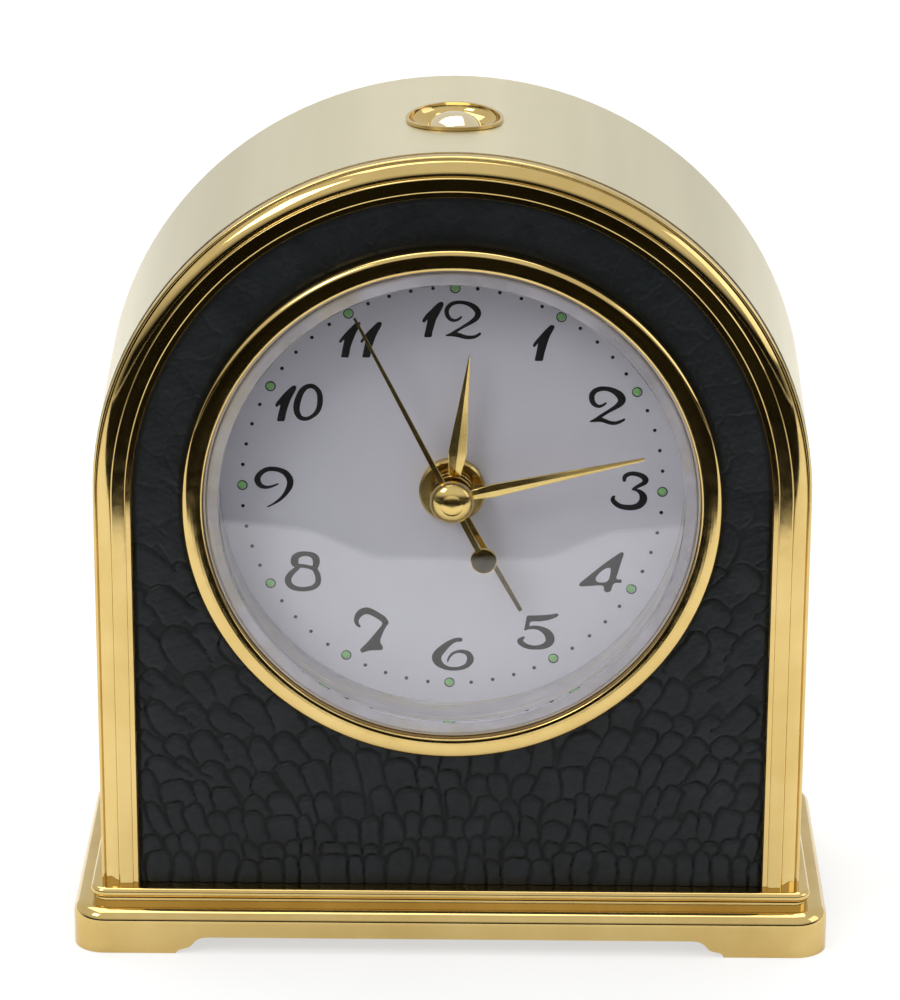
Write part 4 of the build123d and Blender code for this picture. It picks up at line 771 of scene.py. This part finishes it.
# ---------------------------------------------------------------- dial print
NUMERALS = {
    "12": [
        ("fill", [(-1.21, 20.33), (-1.03, 20.24), (-0.98, 20.01), (-1.15, 19.56), (-1.45, 18.96), (-1.73, 18.4), (-1.94, 17.67), (-2.12, 17.02), (-2.2, 16.57), (-2.55, 16.51), (-2.95, 16.54), (-2.89, 17.01), (-2.77, 17.58), (-2.65, 18.23), (-2.68, 18.39), (-2.87, 18.13), (-3.08, 18.1), (-3.16, 18.29), (-3.05, 18.55), (-2.71, 19.03), (-2.3, 19.44), (-1.89, 19.88), (-1.49, 20.24)]),
        ("stroke", [(0.82, 18.7, 0.11), (0.57, 18.48, 0.14), (0.21, 18.33, 0.15), (-0.19, 18.41, 0.19), (-0.5, 18.7, 0.22), (-0.66, 19.13, 0.23), (-0.6, 19.61, 0.23), (-0.23, 20.05, 0.22), (0.38, 20.27, 0.19), (1.07, 20.25, 0.2), (1.76, 20.03, 0.25), (2.3, 19.63, 0.31), (2.55, 19.14, 0.32), (2.37, 18.62, 0.28), (1.87, 18.18, 0.22), (1.24, 17.79, 0.17), (0.7, 17.44, 0.15), (0.21, 17.12, 0.17), (-0.25, 16.85, 0.14), (-0.68, 16.72, 0.09)]),
        ("stroke", [(-0.63, 16.72, 0.09), (0.01, 16.79, 0.19), (0.55, 16.76, 0.25), (1.17, 16.57, 0.22), (1.78, 16.51, 0.2), (2.32, 16.63, 0.17), (2.74, 16.92, 0.14)]),
    ],
    "11": [
        ("fill", [(-9.62, 18.09), (-9.5, 18.03), (-9.48, 17.85), (-9.59, 17.55), (-9.84, 17.1), (-10.06, 16.61), (-10.29, 16.01), (-10.53, 15.26), (-10.71, 14.33), (-11, 14.26), (-11.45, 14.28), (-11.49, 14.38), (-11.38, 14.93), (-11.26, 15.58), (-11.17, 16.06), (-11.21, 16.17), (-11.4, 15.95), (-11.61, 15.84), (-11.69, 15.95), (-11.6, 16.17), (-11.29, 16.6), (-10.88, 17.09), (-10.42, 17.58), (-10.01, 17.98), (-9.8, 18.09)]),
        ("fill", [(-7.43, 18.11), (-7.32, 18.04), (-7.3, 17.87), (-7.4, 17.57), (-7.65, 17.11), (-7.88, 16.63), (-8.1, 16.03), (-8.34, 15.27), (-8.52, 14.35), (-8.81, 14.27), (-9.26, 14.29), (-9.3, 14.4), (-9.2, 14.94), (-9.07, 15.59), (-8.99, 16.08), (-9.03, 16.19), (-9.21, 15.97), (-9.42, 15.86), (-9.5, 15.97), (-9.42, 16.18), (-9.11, 16.62), (-8.7, 17.11), (-8.24, 17.59), (-7.82, 18), (-7.62, 18.11)]),
    ],
    "10": [
        ("fill", [(-16.24, 11.16), (-16.12, 11.06), (-16.12, 10.85), (-16.27, 10.46), (-16.56, 9.93), (-16.81, 9.34), (-17.03, 8.68), (-17.21, 8.03), (-17.37, 7.33), (-17.74, 7.27), (-18.11, 7.3), (-18.06, 7.76), (-17.93, 8.35), (-17.8, 8.94), (-17.87, 9.07), (-18.05, 8.85), (-18.22, 8.85), (-18.29, 9), (-18.21, 9.27), (-17.86, 9.73), (-17.49, 10.19), (-17.05, 10.65), (-16.61, 11.06), (-16.39, 11.18)]),
        ("loop", [(-14.57, 11.14, 0.25), (-14.08, 10.89, 0.25), (-13.75, 10.35, 0.28), (-13.67, 9.63, 0.3), (-13.76, 8.91, 0.28), (-14.01, 8.31, 0.25), (-14.47, 7.85, 0.21), (-15.03, 7.57, 0.21), (-15.63, 7.63, 0.25), (-15.98, 8.04, 0.3), (-16.11, 8.63, 0.33), (-16.04, 9.28, 0.35), (-15.84, 9.94, 0.33), (-15.57, 10.53, 0.31), (-15.13, 10.99, 0.27)]),
    ],
    "9": [
        ("stroke", [(-18.11, 0.37, 0.09), (-18.42, 0.22, 0.11), (-18.86, 0.06, 0.14), (-19.32, -0.01, 0.18), (-19.8, 0.11, 0.25), (-20.13, 0.46, 0.31), (-20.22, 0.9, 0.32), (-20.04, 1.36, 0.29), (-19.64, 1.75, 0.26), (-19.12, 1.99, 0.25), (-18.55, 2.02, 0.25), (-17.93, 1.9, 0.26), (-17.36, 1.63, 0.31), (-17, 1.19, 0.34), (-16.83, 0.68, 0.35), (-16.9, 0.13, 0.32), (-17.17, -0.44, 0.26), (-17.55, -0.98, 0.2), (-18.05, -1.46, 0.16), (-18.59, -1.84, 0.11), (-19.18, -2.17, 0.08)]),
    ],
    "8": [
        ("loop", [(-15.37, -7.37, 0.26), (-14.74, -7.47, 0.29), (-14.31, -7.76, 0.36), (-14.18, -8.18, 0.37), (-14.23, -8.62, 0.33), (-14.39, -9.02, 0.27), (-14.86, -8.89, 0.21), (-15.48, -8.76, 0.21), (-16.11, -8.7, 0.23), (-16.42, -8.47, 0.37), (-16.44, -8.14, 0.41), (-16.37, -7.8, 0.37), (-15.95, -7.48, 0.31)]),
        ("stroke", [(-14.39, -9.04, 0.25), (-14.11, -9.58, 0.3), (-13.99, -10.16, 0.3), (-14.08, -10.72, 0.3), (-14.51, -11.13, 0.27), (-15.14, -11.32, 0.25), (-15.87, -11.35, 0.25), (-16.6, -11.17, 0.29), (-17.05, -10.75, 0.33), (-17.14, -10.22, 0.34), (-16.91, -9.73, 0.31), (-16.54, -9.32, 0.27), (-16.17, -8.98, 0.25)]),
    ],
    "7": [
        ("stroke", [(-9.67, -15.53, 0.11), (-9.91, -15.25, 0.2), (-10.02, -14.88, 0.24), (-9.89, -14.4, 0.31), (-9.54, -13.96, 0.37), (-9.02, -13.74, 0.38), (-8.45, -13.87, 0.36), (-7.75, -14.27, 0.34), (-7.23, -14.64, 0.34), (-6.95, -15.04, 0.32)]),
        ("fill", [(-7.23, -15.04), (-7.41, -15.44), (-7.87, -16.04), (-8.45, -16.8), (-9.03, -17.49), (-9.58, -18.08), (-9.59, -18.28), (-9.44, -18.51), (-9.21, -18.43), (-8.57, -18.24), (-7.88, -18.21), (-7.35, -18.16), (-7.24, -17.98), (-7.26, -17.73), (-7.43, -17.48), (-7.5, -17.23), (-7.47, -16.91), (-7.29, -16.41), (-7, -15.72), (-6.69, -15.22), (-6.62, -15.04), (-6.83, -14.73)]),
    ],
    "6": [
        ("stroke", [(0.91, -16.93, 0.23), (0.49, -16.96, 0.23), (0.02, -17.16, 0.26), (-0.49, -17.54, 0.33), (-1.05, -18.1, 0.43), (-1.48, -18.65, 0.49), (-1.58, -19.09, 0.49), (-1.36, -19.59, 0.4), (-0.89, -19.98, 0.28), (-0.31, -20.21, 0.22), (0.33, -20.26, 0.2), (1.02, -20.15, 0.22), (1.6, -19.86, 0.27), (1.92, -19.4, 0.35), (1.97, -18.98, 0.35), (1.77, -18.56, 0.29), (1.36, -18.32, 0.23), (0.84, -18.26, 0.18), (0.32, -18.39, 0.15), (-0.06, -18.68, 0.14), (-0.3, -19.06, 0.12), (-0.41, -19.4, 0.09)]),
    ],
    "5": [
        ("fill", [(7.94, -14.19), (8.73, -14.13), (9.78, -14.07), (10.51, -13.98), (10.99, -13.89), (11.16, -13.98), (11.16, -14.14), (10.99, -14.28), (10.62, -14.46), (10, -14.67), (9.26, -14.78), (8.42, -14.81), (8.21, -14.96), (8.13, -15.33), (8.01, -15.7), (7.61, -15.82), (7.69, -15.27), (7.79, -14.71)]),
        ("stroke", [(7.82, -15.63, 0.13), (8.43, -15.48, 0.19), (9.06, -15.53, 0.23), (9.64, -15.77, 0.32), (10.08, -16.14, 0.42), (10.31, -16.61, 0.48), (10.29, -17.07, 0.45), (9.98, -17.44, 0.36), (9.45, -17.68, 0.28), (8.82, -17.76, 0.23), (8.19, -17.71, 0.25), (7.61, -17.48, 0.28), (7.2, -17.09, 0.31), (7.35, -16.81, 0.21), (7.58, -16.61, 0.11)]),
    ],
    "4": [
        ("fill", [(17.65, -6.96), (17.86, -6.99), (17.89, -7.16), (17.86, -7.41), (17.72, -7.84), (17.56, -8.4), (17.4, -9.02), (17.24, -9.57), (17.19, -9.88), (17.42, -10.03), (17.68, -10), (17.71, -10.35), (17.36, -10.38), (17.02, -10.42), (16.85, -10.63), (16.72, -10.97), (16.64, -11.27), (16.35, -11.44), (16.06, -11.4), (15.9, -11.19), (15.9, -10.88), (15.7, -10.71), (15.18, -10.69), (14.38, -10.77), (13.57, -10.81), (13.36, -10.75), (13.29, -10.59), (13.56, -10.28), (14.25, -9.66), (15.04, -8.97), (15.83, -8.29), (16.63, -7.67), (17.31, -7.17)]),
        ("hole", [(16.47, -8.71), (16.07, -8.78), (15.62, -9.09), (15.22, -9.53), (15.03, -9.9), (15.12, -10.21), (15.41, -10.35), (15.87, -10.36), (16.21, -10.24), (16.41, -9.95), (16.52, -9.52), (16.57, -9.02), (16.55, -8.78)]),
    ],
    "3": [
        ("stroke", [(17.82, 1.06, 0.19), (17.85, 1.39, 0.23), (18.08, 1.63, 0.23), (18.49, 1.78, 0.23), (19.03, 1.75, 0.25), (19.55, 1.58, 0.28), (19.9, 1.33, 0.31), (20.02, 1.05, 0.32), (19.86, 0.75, 0.26), (19.42, 0.49, 0.21), (19.01, 0.25, 0.17), (18.69, 0.06, 0.1)]),
        ("stroke", [(18.71, 0.05, 0.1), (19.17, -0.06, 0.17), (19.59, -0.34, 0.27), (19.82, -0.78, 0.39), (19.79, -1.22, 0.41), (19.46, -1.67, 0.37), (18.89, -1.93, 0.32), (18.16, -1.97, 0.3), (17.43, -1.82, 0.28), (16.94, -1.5, 0.27), (16.66, -1.13, 0.23), (16.73, -0.83, 0.17), (16.83, -0.74, 0.09)]),
    ],
    "2": [
        ("stroke", [(15.77, 9.49, 0.1), (15.53, 9.3, 0.13), (15.15, 9.14, 0.17), (14.78, 9.22, 0.21), (14.45, 9.54, 0.27), (14.31, 9.99, 0.29), (14.36, 10.45, 0.3), (14.65, 10.82, 0.27), (15.12, 11.03, 0.26), (15.66, 11.07, 0.24), (16.2, 10.97, 0.27), (16.74, 10.72, 0.33), (17.2, 10.34, 0.4), (17.41, 9.9, 0.41), (17.27, 9.5, 0.34), (16.87, 9.13, 0.26), (16.34, 8.78, 0.2), (15.81, 8.44, 0.18), (15.28, 8.07, 0.19), (14.75, 7.72, 0.15), (14.22, 7.48, 0.09)]),
        ("stroke", [(14.24, 7.46, 0.07), (14.75, 7.58, 0.16), (15.29, 7.67, 0.24), (15.72, 7.54, 0.22), (16.26, 7.35, 0.21), (16.79, 7.32, 0.19), (17.27, 7.48, 0.17), (17.68, 7.71, 0.13)]),
    ],
    "1": [
        ("fill", [(10.14, 17.91), (10.31, 17.87), (10.38, 17.73), (10.31, 17.46), (10.11, 17.08), (9.91, 16.65), (9.74, 16.16), (9.56, 15.51), (9.39, 14.86), (9.23, 14.1), (8.99, 14.03), (8.63, 14.02), (8.4, 14.1), (8.47, 14.53), (8.57, 15.07), (8.66, 15.61), (8.69, 15.94), (8.51, 15.67), (8.31, 15.52), (8.2, 15.63), (8.22, 15.83), (8.5, 16.26), (8.91, 16.75), (9.31, 17.24), (9.72, 17.67), (9.97, 17.89)]),
    ],
}


def curve_points(pts, closed, n):
    p = np.array(pts, float)
    count = len(p)
    out = []
    for i in range(count if closed else count - 1):
        p0 = p[(i - 1) % count] if closed or i > 0 else p[i]
        p1, p2 = p[i], p[(i + 1) % count]
        p3 = p[(i + 2) % count] if closed or i + 2 < count else p2
        for k in range(n):
            t = k / n
            out.append(0.5 * (2 * p1 + (p2 - p0) * t + (2 * p0 - 5 * p1 + 4 * p2 - p3) * t * t + (3 * p1 - p0 - 3 * p2 + p3) * t ** 3))
    if not closed:
        out.append(p[-1])
    return np.array(out)


def inside_distance(x, z, ring):
    """Distance to a closed outline, negative inside."""
    a, b = ring, np.roll(ring, -1, axis=0)
    ax, az = x[:, None] - a[None, :, 0], z[:, None] - a[None, :, 1]
    ex, ez = (b - a)[:, 0], (b - a)[:, 1]
    t = np.clip((ax * ex + az * ez) / (ex * ex + ez * ez + 1e-12), 0, 1)
    dist = np.sqrt((ax - t * ex) ** 2 + (az - t * ez) ** 2).min(1)
    up = (a[None, :, 1] <= z[:, None]) & (b[None, :, 1] > z[:, None])
    down = (a[None, :, 1] > z[:, None]) & (b[None, :, 1] <= z[:, None])
    left = ex * az - ez * ax
    wind = (up & (left > 0)).sum(1) - (down & (left < 0)).sum(1)
    return np.where(wind != 0, -dist, dist)


def figure_field(parts, x, z):
    out = np.full(x.shape, 9.0)
    for kind, pts in parts:
        if kind in ("stroke", "loop"):
            c = curve_points(pts, kind == "loop", 9)
            dist = (np.hypot(x[:, None] - c[None, :, 0], z[:, None] - c[None, :, 1]) - c[None, :, 2]).min(1)
            out = np.minimum(out, dist)
        else:
            dist = inside_distance(x, z, curve_points(pts, True, 5))
            out = np.minimum(out, dist) if kind == "fill" else np.maximum(out, -dist)
    return out


def print_figure(parts, d0, d1, cell=0.055):
    """Thin closed solid of a figure: marching squares over its distance field."""
    every = np.array([q[:2] for _, pts in parts for q in pts])
    lo, hi = every.min(0) - 0.55, every.max(0) + 0.55
    nx, nz = int((hi[0] - lo[0]) / cell) + 2, int((hi[1] - lo[1]) / cell) + 2
    xs, zs = lo[0] + cell * np.arange(nx), lo[1] + cell * np.arange(nz)
    X, Z = np.meshgrid(xs, zs)
    F = figure_field(parts, X.ravel(), Z.ravel()).reshape(nz, nx)
    F[np.abs(F) < cell * 0.06] = cell * 0.06
    ids, pos, faces = {}, [], []

    def corner(i, j):
        if ("c", i, j) not in ids:
            ids["c", i, j] = len(pos)
            pos.append((xs[j], zs[i]))
        return ids["c", i, j]

    def cross(i, j, k, m):
        key = ("e",) + ((i, j, k, m) if (i, j) < (k, m) else (k, m, i, j))
        if key not in ids:
            t = F[i, j] / (F[i, j] - F[k, m])
            ids[key] = len(pos)
            pos.append((xs[j] + t * (xs[m] - xs[j]), zs[i] + t * (zs[k] - zs[i])))
        return ids[key]

    for i in range(nz - 1):
        for j in range(nx - 1):
            around4 = [(i, j), (i, j + 1), (i + 1, j + 1), (i + 1, j)]
            if min(F[p] for p in around4) >= 0:
                continue
            poly = []
            for k in range(4):
                p, q = around4[k], around4[(k + 1) % 4]
                if F[p] < 0:
                    poly.append(corner(*p))
                if (F[p] < 0) != (F[q] < 0):
                    poly.append(cross(*p, *q))
            if len(poly) > 2:
                faces.append(tuple(poly))
    n = len(pos)
    have = set()
    for q in faces:
        for k in range(len(q)):
            have.add((q[k], q[(k + 1) % len(q)]))
    walls = [(b, a, a + n, b + n) for a, b in have if (b, a) not in have]
    verts = [at(x, z, d0) for x, z in pos] + [at(x, z, d1) for x, z in pos]
    return verts, faces + [tuple(i + n for i in q[::-1]) for q in faces] + walls


def turned(r, k, of):
    a = TAU * k / of + PRINT_TURN
    return r * math.sin(a), r * math.cos(a)


ink_front, ink_back = DIAL_FRONT - 0.018, DIAL_FRONT + 0.012
v, f = merge(*[print_figure(p, ink_front, ink_back) for p in NUMERALS.values()])
make("dial_numerals", v, f, M["ink"], sharp=40)
dots, rings, paste = [], [], []
for k in range(60):
    x, z = turned(21.87, k, 60)
    if k % 5:
        dots.append(lathe([(0.0, ink_front), (0.170, ink_front), (0.195, ink_front + 0.008), (0.195, ink_back), (0.0, ink_back)], 24, x, z))
    else:
        x, z = turned(21.80, k, 60)
        rings.append(lathe([(0.425, ink_front), (0.545, ink_front), (0.545, ink_back), (0.425, ink_back)], 48, x, z))
        ox, oz = x - 0.045, z + 0.03
        paste.append(lathe([(0.0, ink_front - 0.085), (0.18, ink_front - 0.080), (0.32, ink_front - 0.055), (0.395, ink_front - 0.015), (0.41, ink_front + 0.004), (0.41, ink_back), (0.0, ink_back)], 40, ox, oz))
v, f = merge(*dots, *rings)
make("dial_minute_dots", v, f, M["ink"], sharp=40)
v, f = merge(*paste)
make("dial_lume_dots", v, f, M["lume"], sharp=60)

# -------------------------------------------------------------- stage, lights
def backdrop_look():
    m, nt, b, obj = start("pale_floor")
    b.inputs["Specular IOR Level"].default_value = 0.15
    nt.links.new(ramp(nt, noise(nt, obj, 25.0, 3.0), (0.3, (0.905, 0.905, 0.900)), (0.7, (0.925, 0.925, 0.920))), b.inputs["Base Color"])
    nt.links.new(remap(nt, noise(nt, obj, 400.0, 3.0), 0.3, 0.7, 0.75, 0.85), b.inputs["Roughness"])
    glow = nt.nodes.new("ShaderNodeEmission")
    nt.links.new(ramp(nt, noise(nt, obj, 30.0, 3.0), (0.3, (1.0, 1.0, 0.995)), (0.7, (1.03, 1.03, 1.025))), glow.inputs["Color"])
    path = nt.nodes.new("ShaderNodeLightPath")
    mix = nt.nodes.new("ShaderNodeMixShader")
    nt.links.new(calc(nt, "MULTIPLY", path.outputs["Is Camera Ray"], 0.6), mix.inputs[0])
    out = next(n for n in nt.nodes if n.type == "OUTPUT_MATERIAL")
    nt.links.new(b.outputs[0], mix.inputs[1])
    nt.links.new(glow.outputs[0], mix.inputs[2])
    nt.links.new(mix.outputs[0], out.inputs["Surface"])
    return m


# Painted reflection: a dark card lying just above the floor in front of the clock, which paints the dark reflections in
# the polished gold faces.
def dark_reflection_card_look():
    m, nt, b, obj = start("painted_dark_reflection")
    nt.links.new(ramp(nt, noise(nt, obj, 9.0, 3.0), (0.3, (0.004, 0.0036, 0.002)), (0.7, (0.018, 0.016, 0.010))), b.inputs["Base Color"])
    nt.links.new(remap(nt, noise(nt, obj, 30.0, 2.0), 0.3, 0.7, 0.9, 1.0), b.inputs["Roughness"])
    b.inputs["Specular IOR Level"].default_value = 0.0
    return m


def sheet_mesh(name, pts, material, hidden=False):
    me = bpy.data.meshes.new(name)
    me.from_pydata([(x * MM, y * MM, z * MM) for x, y, z in pts], [], [tuple(range(len(pts)))])
    ob = bpy.data.objects.new(name, me)
    me.materials.append(material)
    bpy.context.scene.collection.objects.link(ob)
    if hidden:
        ob.visible_camera = False
        ob.visible_shadow = False
        ob.visible_diffuse = False
    return ob


sheet_mesh("floor", [(-3000, -3000, -0.02), (3000, -3000, -0.02), (3000, 3000, -0.02), (-3000, 3000, -0.02)], backdrop_look())
# The card is hidden from the camera, from shadows and from diffuse light, so it shows only as painted dark reflection
# in the gold.
edge_line = [(-1500, -141), (-150, -141), (-30, -140), (-20, -137), (-11, -127), (11, -127), (20, -137), (30, -140), (150, -141), (1500, -141), (1500, -2500), (-1500, -2500)]
sheet_mesh("dark_reflection_card", [(x, y, 0.5) for x, y in edge_line], dark_reflection_card_look(), hidden=True)


def lamp(name, where, aim, size, power, color=(1.0, 1.0, 1.0), size_y=None):
    li = bpy.data.lights.new(name, "AREA")
    li.energy = power
    li.color = color
    li.size = size
    if size_y:
        li.shape = "RECTANGLE"
        li.size_y = size_y
    ob = bpy.data.objects.new(name, li)
    bpy.context.scene.collection.objects.link(ob)
    ob.location = Vector(where) * MM
    ob.rotation_mode = "QUATERNION"
    ob.rotation_quaternion = (Vector(where) - Vector(aim)).to_track_quat("Z", "Y")
    return ob


lamp("key", (-420, -420, 560), (0, 0, 40), 0.26, 1.3, (1.0, 0.985, 0.96))
lamp("overhead", (-60, 160, 760), (0, 0, 30), 0.70, 3.6, (1.0, 1.0, 1.0))
lamp("side", (620, -120, 330), (0, 0, 40), 0.40, 0.6, (0.93, 0.96, 1.0))

world = bpy.data.worlds.new("studio")
bpy.context.scene.world = world
world.use_nodes = True
wt = world.node_tree
wt.nodes.clear()
w_out = wt.nodes.new("ShaderNodeOutputWorld")
w_bg = wt.nodes.new("ShaderNodeBackground")
w_co = wt.nodes.new("ShaderNodeTexCoord")
w_sep = wt.nodes.new("ShaderNodeSeparateXYZ")
wt.links.new(w_co.outputs["Generated"], w_sep.inputs[0])
front = ramp(wt, w_sep.outputs["Z"], (0.0, (0.008, 0.007, 0.005)), (0.12, (0.016, 0.014, 0.010)), (0.23, (0.60, 0.595, 0.58)), (0.38, (1.06, 1.06, 1.05)), (0.80, (1.05, 1.05, 1.06)))
rear = ramp(wt, w_sep.outputs["Z"], (0.0, (0.92, 0.92, 0.91)), (0.30, (0.97, 0.97, 0.96)), (0.80, (0.95, 0.95, 0.96)))
w_side = wt.nodes.new("ShaderNodeMix")
w_side.data_type = "RGBA"
wt.links.new(remap(wt, w_sep.outputs["Y"], -0.35, 0.20, 0.0, 1.0), w_side.inputs["Factor"])
wt.links.new(front, w_side.inputs["A"])
wt.links.new(rear, w_side.inputs["B"])
shade = w_side.outputs["Result"]
w_path = wt.nodes.new("ShaderNodeLightPath")
w_mix = wt.nodes.new("ShaderNodeMix")
w_mix.data_type = "RGBA"
wt.links.new(w_path.outputs["Is Camera Ray"], w_mix.inputs["Factor"])
wt.links.new(shade, w_mix.inputs["A"])
w_mix.inputs["B"].default_value = (1.4, 1.4, 1.4, 1.0)
wt.links.new(w_mix.outputs["Result"], w_bg.inputs["Color"])
w_bg.inputs["Strength"].default_value = 0.85
wt.links.new(w_bg.outputs[0], w_out.inputs["Surface"])

# -------------------------------------------------------------------- camera
tilt, swing, roll, reach_mm = 0.35687, 0.0080873, 0.0043749, 452.494
back = Vector((math.sin(swing) * math.cos(tilt), -math.cos(swing) * math.cos(tilt), math.sin(tilt)))
right = Vector((math.cos(swing), math.sin(swing), 0.0))
upward = right.cross(-back)
r2 = math.cos(roll) * right + math.sin(roll) * upward
u2 = -math.sin(roll) * right + math.cos(roll) * upward
place = Vector((-0.1967, D0, 50.4377)) * MM + back * reach_mm * MM
cam_data = bpy.data.cameras.new("camera")
cam = bpy.data.objects.new("camera", cam_data)
bpy.context.scene.collection.objects.link(cam)
cam.matrix_world = Matrix(((r2.x, u2.x, back.x, place.x), (r2.y, u2.y, back.y, place.y), (r2.z, u2.z, back.z, place.z), (0, 0, 0, 1)))
cam_data.sensor_width = 36.0
cam_data.lens = 4413.03 / 1000.0 * 36.0
cam_data.clip_start = 0.01
cam_data.clip_end = 20.0
bpy.context.scene.camera = cam
bpy.context.scene.view_settings.view_transform = "Standard"
bpy.context.scene.view_settings.look = "None"
bpy.context.scene.view_settings.exposure = 0.0
bpy.context.scene.view_settings.gamma = 1.0
